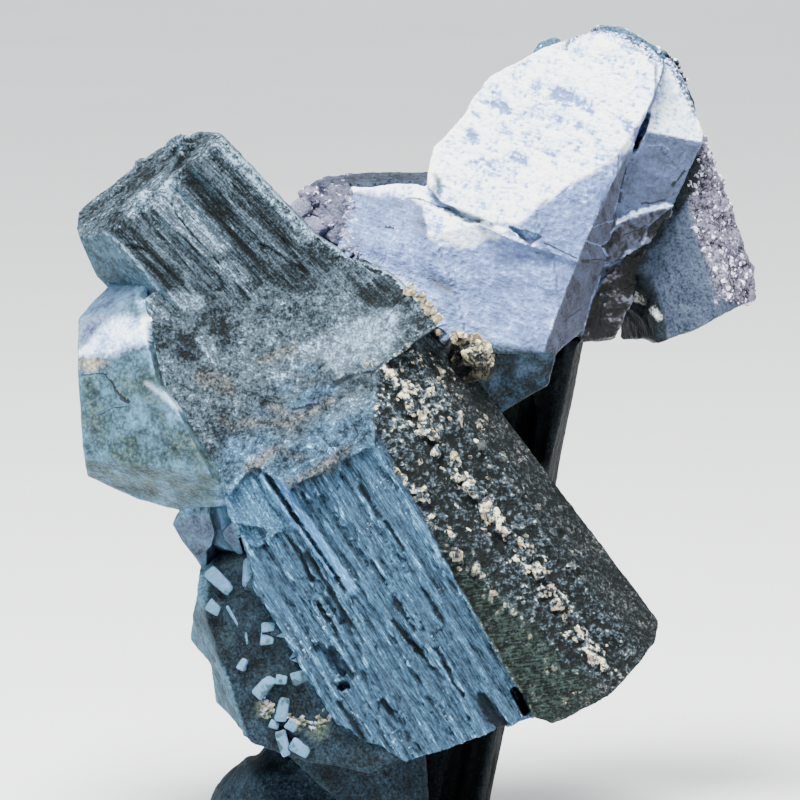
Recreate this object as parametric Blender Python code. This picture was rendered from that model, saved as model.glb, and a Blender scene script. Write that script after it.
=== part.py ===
"""Hydroxylapatite with hornblende: stout hornblende prisms with white apatite crystals grown on them.

The crystals are laid out in millimetres in the group's own upright frame: across (to the right), up, and
toward (the show side). stand() leans the whole group back, trims it flat underneath, and turns it into
metres with +Z up, the show side at -Y and the origin under the middle of the group.
"""

import math
import random

import bmesh
import bpy
from mathutils import Matrix, Vector
from mathutils.bvhtree import BVHTree

SPECIMEN = "hydroxylapatite_with_hornblende"  # the collection of the crystals
CUTTERS = "cutters"  # the collection of the shapes that crystals are joined with or cut by
MM = 0.001
SEED = 47
IN_FRONT = 100.0  # clear of the group on the show side
LEAN_DEG = 8.0  # how far the group leans back as it stands
CONTACT_GAP = 0.35  # clearance where one crystal grows against another
SMALLEST_EDGE = 0.02  # shorter edges left by a union are closed up
FLAT_ANGLES_DEG = (0.5, 0.02)  # faces this nearly level with each other are one face, best first

# Each prism: its middle point (across, up, toward) and the fall of its long axis below the horizontal
UPPER_MIDDLE, UPPER_FALL = (-19.6, 59.9, 0.0), 46.5
CLEAVED_MIDDLE, CLEAVED_FALL = (5.4, 27.5, 0.0), 59.4
FLECKED_MIDDLE, FLECKED_FALL = (2.1, 28.35, 0.0), 53.0
REAR_MIDDLE, REAR_FALL = (10.2, 27.0, -12.5), 101.5

WHITE = (0.78, 0.82, 0.88, 1.0)
SEA_WHITE = (0.55, 0.66, 0.70, 1.0)
DARK_GREEN = (0.10, 0.14, 0.15, 1.0)
BLUE_GREY = (0.20, 0.28, 0.33, 1.0)
BEIGE = (0.55, 0.50, 0.40, 1.0)


def at(across, up, toward):
    """A point of the upright frame, as X across, Y away from the show side and Z up."""
    return Vector((across, -toward, up))


def axes(fall_deg):
    """The directions along a prism that falls to the right, across it, and toward the show side."""
    fall = math.radians(fall_deg)
    along = at(math.cos(fall), -math.sin(fall), 0)
    side = at(math.sin(fall), math.cos(fall), 0)
    return along, side, at(0, 0, 1)


# ---- shaping tools -------------------------------------------------------------------------------------


def extruded(corners, travel):
    """A closed solid: one flat face of the given corners, carried along travel."""
    bm = bmesh.new()
    face = bm.faces.new([bm.verts.new(corner) for corner in corners])
    grown = bmesh.ops.extrude_face_region(bm, geom=[face])
    moved = [item for item in grown["geom"] if isinstance(item, bmesh.types.BMVert)]
    bmesh.ops.translate(bm, vec=travel, verts=moved)
    bmesh.ops.recalc_face_normals(bm, faces=bm.faces)
    return bm


def prism(middle, fall_deg, section, reach):
    """A crystal prism: its section, as (side, toward) corners about the axis, from reach[0] to reach[1]."""
    along, side, toward = axes(fall_deg)
    start = at(*middle) + along * reach[0]
    corners = [start + side * u + toward * v for u, v in section]
    return extruded(corners, along * (reach[1] - reach[0]))


def slab(outline, back, front):
    """A plate of the given (across, up) outline between two depths."""
    return extruded([at(a, b, back) for a, b in outline], at(0, 0, front - back))


def chop(bm, *points, keep=None):
    """Planes the solid down to the plane through three points, and keeps the side of its middle."""
    first, second, third = (at(*point) for point in points)
    normal = (second - first).cross(third - first).normalized()
    middle = at(*keep) if keep else sum((v.co for v in bm.verts), Vector()) / len(bm.verts)
    if normal.dot(middle - first) > 0:
        normal = -normal
    shape = bm.verts[:] + bm.edges[:] + bm.faces[:]
    cut = bmesh.ops.bisect_plane(
        bm, geom=shape, plane_co=first, plane_no=normal, dist=1e-5, clear_outer=True
    )
    rim = [item for item in cut["geom_cut"] if isinstance(item, bmesh.types.BMEdge)]
    bmesh.ops.edgeloop_fill(bm, edges=rim)
    bmesh.ops.recalc_face_normals(bm, faces=bm.faces)
    return bm


def lump(middle, size, detail=1, roughness=0.15, turn=0.0, seed=0):
    """A rounded grain with uneven sides; detail sets how many faces it has."""
    dice = random.Random(SEED + seed)
    bm = bmesh.new()
    bmesh.ops.create_icosphere(bm, subdivisions=detail, radius=1.0)
    for vert in bm.verts:
        vert.co *= 1 + dice.uniform(-roughness, roughness)
    placed = Matrix.Translation(at(*middle)) @ Matrix.Rotation(turn, 4, "Y")
    bmesh.ops.transform(bm, matrix=placed @ Matrix.Diagonal((*size, 1)), verts=bm.verts)
    return bm


def block(middle, size, fall_deg, tip=0.0):
    """A small blocky crystal; its long side falls to the right, and tip turns it about that side."""
    bm = bmesh.new()
    bmesh.ops.create_cube(bm, size=1.0)
    placed = Matrix.Translation(at(*middle)) @ Matrix.Rotation(math.radians(fall_deg), 4, "Y")
    placed = placed @ Matrix.Rotation(tip, 4, "X")
    bmesh.ops.transform(bm, matrix=placed @ Matrix.Diagonal((*size, 1)), verts=bm.verts)
    return bm


def collection(name):
    """A new, empty collection in the scene."""
    made = bpy.data.collections.new(name)
    bpy.context.scene.collection.children.link(made)


def piece(name, bm, colour=DARK_GREEN, home=SPECIMEN):
    """A named crystal of this shape, with its own material."""
    bmesh.ops.triangulate(bm, faces=[f for f in bm.faces if len(f.verts) > 4])
    mesh = bpy.data.meshes.new(name)
    bm.to_mesh(mesh)
    bm.free()
    material = bpy.data.materials.new(name)
    material.use_nodes = True
    shader = material.node_tree.nodes["Principled BSDF"]
    shader.inputs["Base Color"].default_value = colour
    shader.inputs["Roughness"].default_value = 0.6
    shader.inputs["Metallic"].default_value = 0.0
    mesh.materials.append(material)
    obj = bpy.data.objects.new(name, mesh)
    bpy.data.collections[home].objects.link(obj)
    return obj


def cutter(name, bm):
    """A shape to join a crystal with, or to cut it by."""
    tool = piece(name, bm, home=CUTTERS)
    tool.hide_render = True
    tool.display_type = "WIRE"
    return tool


def tidied(bm):
    """Closes up specks and levels the needless edges that a union leaves, while the skin stays closed."""
    for angle in FLAT_ANGLES_DEG:
        trial = bm.copy()
        bmesh.ops.dissolve_degenerate(trial, dist=SMALLEST_EDGE, edges=trial.edges)
        bmesh.ops.dissolve_limit(
            trial, angle_limit=math.radians(angle), verts=trial.verts, edges=trial.edges
        )
        bmesh.ops.triangulate(trial, faces=trial.faces)
        if all(len(edge.link_faces) == 2 for edge in trial.edges):
            return trial
        trial.free()
    bmesh.ops.triangulate(bm, faces=bm.faces)
    return bm.copy()


def largest_body(bm):
    """Drops every loose splinter, and keeps the body with the most corners."""
    left, bodies = set(bm.verts), []
    while left:
        body, edge = set(), [next(iter(left))]
        while edge:
            vert = edge.pop()
            if vert not in body:
                body.add(vert)
                edge.extend(e.other_vert(vert) for e in vert.link_edges)
        bodies.append(body)
        left -= body
    biggest = max(bodies, key=len)
    bmesh.ops.delete(bm, geom=[v for v in bm.verts if v not in biggest], context="VERTS")
    return bm


def boolean(target, tools, operation):
    """Joins or cuts target with each tool in turn, and removes the tools."""
    for tool in tools:
        modifier = target.modifiers.new(operation.title(), "BOOLEAN")
        modifier.operation = operation
        modifier.solver = "EXACT"
        modifier.use_self = True
        modifier.object = tool
        graph = bpy.context.evaluated_depsgraph_get()
        result = bpy.data.meshes.new_from_object(target.evaluated_get(graph))
        target.modifiers.clear()
        bm = bmesh.new()
        bm.from_mesh(result)
        clean = largest_body(tidied(largest_body(bm)))
        clean.to_mesh(target.data)
        clean.free()
        bm.free()
        bpy.data.meshes.remove(result)
        bpy.data.objects.remove(tool)
    return target


def joined(name, shapes, colour=DARK_GREEN):
    """Several overlapping shapes as one solid."""
    first, *others = shapes
    return boolean(piece(name, first, colour), [cutter(name, bm) for bm in others], "UNION")


def gathered(shapes):
    """Loose shapes held in one bmesh, to be joined to a crystal in one go."""
    together = bmesh.new()
    for shape in shapes:
        mesh = bpy.data.meshes.new("shape")
        shape.to_mesh(mesh)
        together.from_mesh(mesh)
        shape.free()
        bpy.data.meshes.remove(mesh)
    return together


def front_of(obj, across, up):
    """How far toward the show side the solid comes at this place; None beside it."""
    faces = [tuple(face.vertices) for face in obj.data.polygons]
    tree = BVHTree.FromPolygons([vert.co.copy() for vert in obj.data.vertices], faces)
    hit = tree.ray_cast(at(across, up, IN_FRONT), at(0, 0, -1))[0]
    return -hit.y if hit else None


def stepped(first, last, count, rise, seed):
    """One side of a section broken into uneven narrow steps, as a cleaved or ribbed face is."""
    dice = random.Random(SEED + seed)
    riser = 0.06 / count
    corners, level = [first], 0.0
    for number in range(count):
        place = (number + dice.uniform(0.1, 0.9)) / count
        side = first[0] + (last[0] - first[0]) * place
        toward = first[1] + (last[1] - first[1]) * place
        next_level = dice.uniform(0.3, 1.0) * rise * (-1 if level > 0 else 1)
        corners.append((side, toward + level))
        corners.append((side + (last[0] - first[0]) * riser, toward + next_level))
        level = next_level
    return corners + [last]


def swollen(obj, gap):
    """A copy of the solid, grown by the contact gap on every face, for its neighbours to be cut back by."""
    bm = bmesh.new()
    bm.from_mesh(obj.data)
    bm.normal_update()
    moved = [vert.co + vert.normal * gap * vert.calc_shell_factor() for vert in bm.verts]
    for vert, place in zip(bm.verts, moved):
        vert.co = place
    return cutter(f"{obj.name}_clearance", bm)


def made_room(obj, neighbours):
    """Cuts obj back from each neighbour that it grows against."""
    return boolean(obj, [swollen(other, CONTACT_GAP) for other in neighbours], "DIFFERENCE")


# ---- the hornblende trunk ------------------------------------------------------------------------------

UPPER_FACE = stepped((-5.6, 5.0), (9.2, 3.6), 9, 0.28, 1)
UPPER_SECTION = UPPER_FACE + [(9.3, -3.0), (4.0, -9.0), (-6.0, -9.5), (-9.6, -3.0)]
UPPER_REACH = (-14.0, 20.0)
CLEAVED_FACE = stepped((-17.5, 7.0), (0.0, 11.8), 13, 0.3, 2)
CLEAVED_SECTION = CLEAVED_FACE + [(1.0, 0.0), (0.0, -10.0), (-12.0, -11.5), (-18.0, -3.0)]
CLEAVED_REACH = (-24.0, 18.0)
FLECKED_FACE = stepped((5.0, 10.8), (12.0, 6.6), 5, 0.3, 3)
FLECKED_BACK = [(15.7, 0.5), (15.0, -8.0), (7.0, -13.5), (-2.0, -12.0), (-3.0, 0.0)]
FLECKED_SECTION = [(-2.5, 10.4), (1.5, 11.3)] + FLECKED_FACE + FLECKED_BACK
FLECKED_REACH = (-20.0, 22.0)
DARK_SHOULDER = [
    (-25.4, 55.0), (-24.5, 50.5), (-23.5, 46.5), (-22.0, 44.5), (-20.0, 41.0), (-17.8, 37.0),
    (-16.6, 33.0), (-12.0, 32.0), (-3.0, 45.0), (1.0, 55.2), (-8.6, 61.7), (-16.0, 62.0),
]  # fmt: skip
PALE_SHOULDER = [
    (-17.8, 37.0), (-17.0, 35.9), (-14.5, 38.4), (-10.9, 36.3), (-6.6, 38.6), (-2.5, 40.6),
    (-1.9, 45.0), (-2.8, 47.5), (1.1, 50.5), (3.7, 52.3), (3.0, 53.6), (1.1, 55.8), (-0.1, 57.0),
    (-2.1, 58.4), (-5.0, 59.8), (-9.0, 58.0), (-17.0, 47.0), (-19.0, 40.5),
]  # fmt: skip
# Rows of flecks: (side of the axis, first reach, last reach)
FLECK_ROWS = [(3.9, -9.0, 5.0), (8.6, -19.0, 17.5), (12.6, -17.0, 12.0)]
# Places with low lumps: (across, up, spread)
LUMPY_PLACES = [
    (-9.0, 41.5, 3.2), (-5.0, 47.0, 3.0), (0.8, 52.6, 1.8), (-27.0, 66.3, 2.4), (-21.5, 70.0, 1.6),
]  # fmt: skip
LUMPS_AT_A_PLACE = 5
# Long splits in the cleavage face: (across, up, length)
SPLITS = [
    (-5.5, 32.0, 9.0), (-1.0, 30.5, 6.0), (-6.2, 23.6, 4.5), (0.5, 24.5, 7.0), (3.6, 20.4, 5.0),
    (-9.4, 25.2, 6.0), (-2.0, 17.5, 5.0), (5.8, 14.8, 4.0), (-3.0, 36.0, 5.0),
]  # fmt: skip
SPLIT_FALL = 57.0
# Two bright ridges side by side on the cleavage face: (across, up, length, width, fall)
RIDGES = [(-8.3, 31.6, 13.4, 0.85, 55.4), (-10.2, 32.5, 12.4, 0.45, 54.0)]
RIDGE_THICKNESS = 1.1
CLEAVAGE_TIP = 0.27  # how far the cleavage face is turned about the prism's axis


def upper_prism():
    """The narrower prism, with a slanted rough end and a flank turned to the left."""
    bm = prism(UPPER_MIDDLE, UPPER_FALL, UPPER_SECTION, UPPER_REACH)
    chop(bm, (-29.0, 61.8, 5.0), (-18.5, 70.5, 3.6), (-26.8, 68.2, -8.0))
    chop(bm, (-32.5, 65.0, 0), (-32.5, 61.0, 0), (-32.5, 63.6, -6))
    chop(bm, (-32.5, 62.2, 0), (-30.0, 56.4, 0), (-32.5, 62.2, -6))
    return chop(bm, (-21.5, 71.9, -1), (-17.5, 71.6, -1), (-20.6, 72.2, -8))


def dark_shoulder():
    """The rough slope that carries the upper prism into the saddle."""
    bm = slab(DARK_SHOULDER, -10.0, 16.0)
    return chop(bm, (-25.0, 51.0, 5.2), (-17.5, 37.0, 7.6), (-9.0, 61.0, 3.9))


def pale_shoulder():
    """The higher, worn part of the saddle, which ends in a ledge over the cleavage face."""
    bm = slab(PALE_SHOULDER, -8.0, 16.0)
    return chop(bm, (-14.5, 38.4, 9.2), (-2.5, 40.6, 12.2), (-3.0, 58.0, 3.4))


def cleaved_half():
    """The left half of the big prism, with a broad fibrous cleavage face."""
    bm = prism(CLEAVED_MIDDLE, CLEAVED_FALL, CLEAVED_SECTION, CLEAVED_REACH)
    chop(bm, (-17.0, 35.9, 0), (-13.8, 24.6, 0), (-17.0, 35.9, 5))
    chop(bm, (-14.5, 39.4, 0), (-2.5, 41.8, 0), (-14.5, 39.4, 5))
    chop(bm, (-6.2, 12.6, 8), (0.6, 9.0, 8), (-5.0, 13.6, -6))
    return chop(bm, (0.6, 9.0, 8), (12.6, 13.7, 8), (1.6, 10.6, -6))


def flecked_half():
    """The right half of the big prism: a natural face, rounded to the right, with a worn end."""
    bm = prism(FLECKED_MIDDLE, FLECKED_FALL, FLECKED_SECTION, FLECKED_REACH)
    chop(bm, (-2.3, 41.0, 0), (-2.5, 47.4, 0), (-2.3, 41.0, 5))
    chop(bm, (-2.8, 47.6, 0), (1.1, 50.7, 0), (-2.8, 47.6, 5))
    chop(bm, (12.0, 14.4, 10), (15.0, 13.1, 10), (12.6, 15.6, -8))
    chop(bm, (15.0, 13.1, 10), (20.5, 16.2, 4), (17.0, 16.0, -12))
    chop(bm, (20.5, 16.2, 2), (25.2, 21.0, 0), (21.8, 18.8, -12))
    return chop(bm, (25.4, 20.8, 0), (25.9, 23.2, 0), (25.4, 21.0, -8))


def flecks(trunk):
    """Angular pale flecks standing in rows along the flecked face."""
    dice = random.Random(SEED)
    along, side, _ = axes(FLECKED_FALL)
    grains = []
    for place, start, end in FLECK_ROWS:
        reach = start
        while reach < end:
            spot = at(*FLECKED_MIDDLE) + along * reach + side * (place + dice.uniform(-0.7, 0.7))
            size = (dice.uniform(0.9, 1.7), dice.uniform(0.7, 1.1), dice.uniform(0.6, 1.0))
            depth = front_of(trunk, spot.x, spot.z)
            if depth is not None:
                middle = (spot.x, spot.z, depth)
                grains.append(block(middle, size, dice.uniform(20, 80), dice.uniform(-0.5, 0.5)))
            reach += dice.uniform(1.2, 3.0)
    return gathered(grains)


def saddle_lumps(trunk):
    """Low lumps on the worn saddle and on the slanted end of the upper prism."""
    dice = random.Random(SEED + 5)
    grains = []
    for number, (across, up, spread) in enumerate(LUMPY_PLACES):
        for _ in range(LUMPS_AT_A_PLACE):
            a, b = across + dice.uniform(-spread, spread), up + dice.uniform(-spread, spread)
            size = (dice.uniform(0.8, 1.6), dice.uniform(0.4, 0.8), dice.uniform(0.7, 1.3))
            depth = front_of(trunk, a, b)
            if depth is not None:
                grains.append(lump((a, b, depth - 0.1), size, 1, 0.2, dice.uniform(0, 3), number))
    return gathered(grains)


def cleavage_cuts(trunk):
    """Long splits along the cleavage face, with a pit, a recess and the notch at its lower corner."""
    dice = random.Random(SEED + 6)
    cuts = []
    for across, up, length in SPLITS:
        middle = (across, up, front_of(trunk, across, up))
        size = (length, dice.uniform(0.9, 1.4), dice.uniform(0.35, 0.55))
        cuts.append(block(middle, size, SPLIT_FALL + dice.uniform(-2, 2), 0.7))
    cuts.append(block((-7.0, 19.2, front_of(trunk, -7.0, 19.2)), (4.2, 1.6, 1.2), 48.0, 0.6))
    cuts.append(lump((-5.7, 16.6, front_of(trunk, -5.7, 16.6)), (0.6, 2.4, 0.5), 2, 0.1))
    cuts.append(block((11.9, 15.3, 10.0), (3.0, 4.0, 0.9), 62.0))
    return cuts


def hornblende_trunk():
    shapes = [flecked_half(), cleaved_half(), dark_shoulder(), pale_shoulder(), upper_prism()]
    return joined("hornblende_trunk", shapes, BLUE_GREY)


def bright_ridges(trunk):
    """Two narrow ridges that lie side by side along the cleavage face."""
    ridges = []
    for across, up, length, width, fall in RIDGES:
        middle = (across, up, front_of(trunk, across, up))
        ridges.append(block(middle, (length, RIDGE_THICKNESS, width), fall, CLEAVAGE_TIP))
    return gathered(ridges)


def weather_trunk(trunk):
    """Adds the trunk's flecks, lumps, ridges and splits."""
    growths = [flecks(trunk), saddle_lumps(trunk), bright_ridges(trunk)]
    boolean(trunk, [cutter("cut", bm) for bm in cleavage_cuts(trunk)], "DIFFERENCE")
    return boolean(trunk, [cutter("growth", bm) for bm in growths], "UNION")


# ---- the other hornblendes and the matrix --------------------------------------------------------------

FOOT_OUTLINE = [
    (-19.8, 29.2), (-20.2, 25.8), (-21.1, 21.0), (-20.4, 20.1), (-19.0, 18.9), (-18.4, 14.7),
    (-17.4, 13.8), (-15.4, 11.6), (-14.6, 10.8), (-11.3, 9.6), (-3.0, 8.0), (6.0, 12.0),
    (6.0, 22.0), (-8.0, 32.0), (-15.0, 32.0),
]  # fmt: skip
STUB_OUTLINE = [
    (-12.0, 10.2), (-8.9, 7.4), (-6.2, 5.0), (-4.8, 0.0), (-4.4, -4.0), (3.0, -4.0), (2.8, 5.0),
    (2.5, 9.6), (1.0, 14.0), (-8.0, 14.0),
]  # fmt: skip
RIGHT_OUTLINE = [
    (26.0, 78.5), (29.0, 76.8), (30.6, 72.0), (31.2, 69.3), (32.2, 67.5), (33.2, 64.9), (34.2, 61.9),
    (34.8, 59.4), (35.6, 58.5), (35.8, 55.3), (32.8, 53.8), (29.3, 51.9), (25.8, 50.8), (24.7, 51.3),
    (22.7, 51.2), (21.7, 51.9), (22.4, 52.8), (22.0, 66.0),
]  # fmt: skip
RIGHT_BACK_OUTLINE = [
    (13.6, 80.2), (14.2, 81.2), (15.6, 81.6), (17.0, 81.2), (20.1, 82.8), (22.4, 82.7), (24.6, 81.4),
    (26.9, 80.1), (28.1, 79.2), (29.2, 76.4), (30.6, 71.8), (33.2, 64.7), (35.4, 58.2), (34.4, 55.0),
    (29.3, 52.5), (25.2, 52.0), (20.0, 60.0), (14.6, 72.0),
]  # fmt: skip
BACK_OUTLINE = [
    (-10.2, 63.5), (-9.7, 65.0), (-9.3, 66.5), (-7.9, 67.3), (-4.4, 67.9), (-2.8, 68.0), (3.2, 68.0),
    (5.0, 66.0), (3.0, 62.0), (-5.0, 59.0), (-9.0, 60.5),
]  # fmt: skip
# The crusted face, between its ridge and its outer rim
CRUST_RIDGE, CRUST_RIM, CRUST_GRAINS = [(29.2, 71.5), (31.6, 55.2)], [(30.6, 71.5), (35.2, 56.6)], 34
BACK_GRAINS = 14  # pale grains on the back crystal's left end
REAR_FACE = stepped((-3.6, 1.2), (2.6, 3.2), 4, 0.5, 4)
REAR_SECTION = REAR_FACE + [(3.5, 0.6), (3.5, -3.5), (0.0, -6.0), (-3.8, -3.5)]

# Small white crystals on the foot: (across, up, length, width, fall)
FOOT_CRYSTALS = [
    (-17.9, 27.1, 2.8, 1.3, 44), (-14.8, 27.6, 2.9, 1.0, 95), (-18.5, 24.4, 1.3, 1.1, 30),
    (-13.1, 22.4, 1.2, 0.9, 0), (-13.2, 21.3, 1.2, 1.2, 5), (-11.6, 22.0, 1.8, 1.1, 15),
    (-10.1, 19.5, 1.2, 1.1, 30), (-15.6, 18.7, 1.1, 0.8, -60), (-13.5, 16.5, 2.3, 1.3, -52),
    (-11.8, 17.2, 1.0, 0.9, 10), (-10.0, 17.5, 1.5, 1.2, -20), (-11.7, 14.3, 2.2, 1.2, -78),
    (-12.5, 12.7, 0.9, 0.8, 20), (-10.8, 12.6, 1.0, 0.9, 40), (-11.6, 10.9, 2.4, 1.0, 75),
    (-9.9, 10.4, 1.9, 1.3, 35),
]  # fmt: skip


def hornblende_foot():
    """The dark crystal at the lower left, and the stub that the group stands on."""
    body = slab(FOOT_OUTLINE, -11.0, 12.0)
    chop(body, (-17.6, 18.3, 3.2), (-15.4, 11.7, 3.2), (-10.0, 22.0, 5.8))
    chop(body, (-17.6, 18.3, 3.2), (-15.4, 11.7, 3.2), (-21.0, 22.0, -2.5))
    chop(body, (-20.4, 28.0, 1.0), (-12.0, 31.5, 5.0), (-15.0, 34.0, -8.0))
    chop(body, (-20.5, 22.0, -5.0), (-16.0, 11.0, -7.0), (-12.0, 24.0, -11.5))
    stub = slab(STUB_OUTLINE, -11.0, 3.0)
    chop(stub, (-8.9, 7.4, 1.2), (-4.8, 0.0, 1.0), (0.4, 6.0, 2.8))
    chop(stub, (0.4, 9.0, 2.9), (0.6, 0.0, 2.7), (3.0, 4.0, 0.6))
    chop(stub, (-6.0, 4.0, -8.0), (-4.8, -3.0, -8.0), (-2.5, 2.0, -11.5))
    return joined("hornblende_foot", [body, stub])


def stud_foot(foot):
    """Sets the small white crystals on the foot."""
    grown = []
    for across, up, length, width, fall in FOOT_CRYSTALS:
        middle = (across, up, front_of(foot, across, up) + 0.1)
        grown.append(block(middle, (length, 1.0, width), fall, 0.15))
    return boolean(foot, [cutter("crystals", gathered(grown))], "UNION")


def hornblende_right():
    """The broad crystal behind the crown, with a crusted face turned to the right."""
    bm = slab(RIGHT_OUTLINE, -15.0, -3.0)
    chop(bm, (28.5, 66.0, -4.0), (31.6, 55.0, -4.0), (24.8, 52.0, -5.2))
    chop(bm, (28.5, 66.0, -4.0), (31.6, 55.0, -4.0), (35.8, 57.0, -8.5))
    chop(bm, (24.9, 59.0, -4.9), (26.0, 51.0, -4.9), (24.2, 55.0, -8.5))
    back = slab(RIGHT_BACK_OUTLINE, -19.5, -8.5)
    chop(back, (14.0, 80.0, -13.5), (27.0, 80.0, -13.5), (20.0, 72.0, -19.0))
    chop(back, (14.0, 78.0, -12.5), (22.0, 56.0, -12.5), (20.0, 68.0, -19.0))
    chop(back, (32.0, 70.0, -12.5), (35.5, 57.0, -12.5), (28.0, 66.0, -19.0))
    return joined("hornblende_right", [bm, back])


def crust_right(crystal):
    """Covers the outer face of the right crystal in pale grains."""
    dice = random.Random(SEED + 8)
    crust = []
    for number in range(CRUST_GRAINS):
        down, out = dice.random(), dice.uniform(0.05, 0.95)
        ridge, rim = Vector(CRUST_RIDGE[0]).lerp(Vector(CRUST_RIDGE[1]), down), Vector(CRUST_RIM[0])
        place = ridge.lerp(rim.lerp(Vector(CRUST_RIM[1]), down), out)
        grain = dice.uniform(0.45, 0.85)
        depth = front_of(crystal, place.x, place.y)
        if depth is not None:
            middle = (place.x, place.y, depth - 0.1)
            crust.append(lump(middle, (grain, grain * 0.8, grain), 1, 0.2, down * 9, number))
    return boolean(crystal, [cutter("crust", gathered(crust))], "UNION")


def hornblende_back():
    """The small crystal that shows over the crown's left shoulder."""
    bm = slab(BACK_OUTLINE, -11.0, -2.0)
    chop(bm, (-4.0, 66.4, -3.6), (4.0, 66.6, -3.6), (0.0, 68.2, -9.0))
    chop(bm, (-6.0, 66.4, -3.2), (-6.0, 62.0, -3.2), (-10.3, 64.0, -6.5))
    dice = random.Random(SEED + 9)
    crust = []
    for number in range(BACK_GRAINS):
        middle = (dice.uniform(-9.9, -6.8), dice.uniform(62.0, 66.6), dice.uniform(-5.6, -3.6))
        grain = dice.uniform(0.7, 1.1)
        crust.append(lump(middle, (grain, grain, grain), 1, 0.2, number, number))
    return joined("hornblende_back", [bm, gathered(crust)])


def hornblende_rear():
    """The long ribbed prism behind the trunk, from under the crown down to the base."""
    return joined("hornblende_rear", [prism(REAR_MIDDLE, REAR_FALL, REAR_SECTION, (-27.0, 34.0))])


def matrix_knob():
    """A rounded lump of dark matrix beside the foot."""
    return joined("matrix_knob", [lump((-12.0, 1.5, -9.0), (7.8, 8.5, 8.2), 3, 0.05)])


def matrix_crumb():
    """The pale crumb of matrix caught between the trunk and the crown."""
    return joined("matrix_crumb", [lump((7.2, 49.4, 1.2), (2.4, 4.4, 3.0), 2, 0.18, -0.6)], BEIGE)


# ---- the apatites --------------------------------------------------------------------------------------

CROWN_UPPER = [
    (2.8, 67.9), (3.4, 70.2), (6.6, 73.7), (7.7, 76.9), (10.7, 78.4), (13.9, 80.1), (17.8, 81.6),
    (20.1, 82.2), (22.3, 81.8), (24.5, 80.7), (26.6, 79.0), (25.4, 75.4), (23.6, 70.5), (22.4, 67.9),
    (20.5, 59.0), (17.4, 58.8), (11.0, 61.0), (5.0, 63.6), (3.9, 64.8), (2.8, 66.3),
]  # fmt: skip
CROWN_LOWER = [
    (-4.9, 66.4), (-3.1, 66.3), (-0.5, 66.7), (1.5, 66.6), (2.8, 66.3), (3.9, 64.8), (8.0, 64.0),
    (18.0, 60.5), (21.6, 63.3), (20.7, 59.7), (19.0, 54.4), (18.4, 52.1), (15.6, 49.6), (13.0, 49.6),
    (9.0, 49.6), (5.0, 51.2), (2.5, 54.0), (-2.0, 57.0), (-5.9, 60.0), (-5.8, 61.1), (-5.1, 63.9),
]  # fmt: skip
CROWN_WING = [
    (25.5, 75.5), (26.8, 79.6), (27.7, 79.0), (28.9, 76.2), (30.5, 71.6), (30.3, 70.8), (29.1, 68.2),
    (28.4, 66.5), (27.3, 64.3), (25.0, 62.5), (21.7, 61.5), (20.0, 66.0), (22.0, 70.0),
]  # fmt: skip
CROWN_STEP = [
    (20.9, 62.3), (23.8, 63.7), (27.5, 64.6), (26.3, 62.6), (25.0, 61.0), (23.2, 59.9), (22.0, 59.0),
    (20.4, 58.3),
]  # fmt: skip
CROWN_HOLLOW = [
    (20.2, 61.0), (24.8, 61.3), (24.0, 57.0), (22.6, 53.8), (21.6, 51.2), (18.1, 50.8), (18.2, 54.0),
]  # fmt: skip
# Floors of the crown's cracks, which are open toward the show side
CROWN_CRACKS = [
    [(2.8, 65.2, 0.7), (9.4, 62.5, 2.5), (6.6, 62.6, 1.5)],
    [(9.6, 62.9, 3.3), (14.3, 61.3, 3.3), (13.0, 60.4, 3.2)],
    [(25.7, 76.0, -2.6), (24.5, 71.6, -2.6), (22.8, 68.0, -2.6), (23.5, 71.2, -2.6)],
]
CRACK_OPENING = 8.0
CROWN_KEEL = [(9.5, 51.0), (14.5, 51.0), (15.6, 49.2), (14.8, 46.5), (10.5, 44.0), (9.0, 45.5), (8.0, 48.0)]


def crown_upper():
    bm = slab(CROWN_UPPER, -12.0, 8.0)
    chop(bm, (22.2, 69.3, 3.4), (9.5, 61.0, 4.6), (24.0, 80.0, -1.0))
    chop(bm, (21.2, 68.2, 3.2), (14.5, 50.5, 3.2), (9.5, 61.0, 4.6))
    chop(bm, (21.2, 68.2, 3.2), (14.5, 50.5, 3.2), (23.0, 66.0, 0.4))
    return chop(bm, (8.0, 77.0, -2.0), (3.4, 69.0, -2.0), (10.0, 70.0, -11.0))


def crown_lower():
    bm = slab(CROWN_LOWER, -11.0, 8.0)
    chop(bm, (-5.0, 60.5, 2.2), (9.5, 60.6, 4.2), (3.0, 66.5, -0.6))
    chop(bm, (21.2, 68.2, 2.9), (14.5, 50.5, 2.9), (-3.0, 58.0, 2.6))
    chop(bm, (21.2, 68.2, 2.9), (14.5, 50.5, 2.9), (22.8, 66.0, 0.2))
    return chop(bm, (-3.0, 58.0, -4.0), (12.0, 49.0, -4.0), (6.0, 60.0, -11.5))


def crown_wing():
    bm = slab(CROWN_WING, -11.0, 4.0)
    chop(bm, (24.6, 71.8, 0.6), (30.3, 70.8, -2.2), (27.0, 79.6, -4.4))
    return chop(bm, (24.6, 71.8, 0.6), (30.3, 70.8, -2.2), (22.0, 62.0, -1.0))


def crown_step():
    """The broken ledge under the wing."""
    return chop(slab(CROWN_STEP, -10.0, 2.0), (21.3, 62.6, 0.4), (27.5, 64.6, -1.9), (22.0, 59.0, -1.0))


def crown_hollow():
    """The stained hollow under the ledge."""
    return chop(slab(CROWN_HOLLOW, -10.0, 2.0), (18.4, 52.0, -1.6), (20.4, 61.0, -2.4), (24.7, 60.0, -4.2))


def crown_keel():
    """The smooth underside below the crown's front face."""
    return chop(slab(CROWN_KEEL, -10.0, 3.0), (9.5, 51.0, 2.2), (15.6, 50.0, 1.8), (11.0, 44.0, -2.4))


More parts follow.
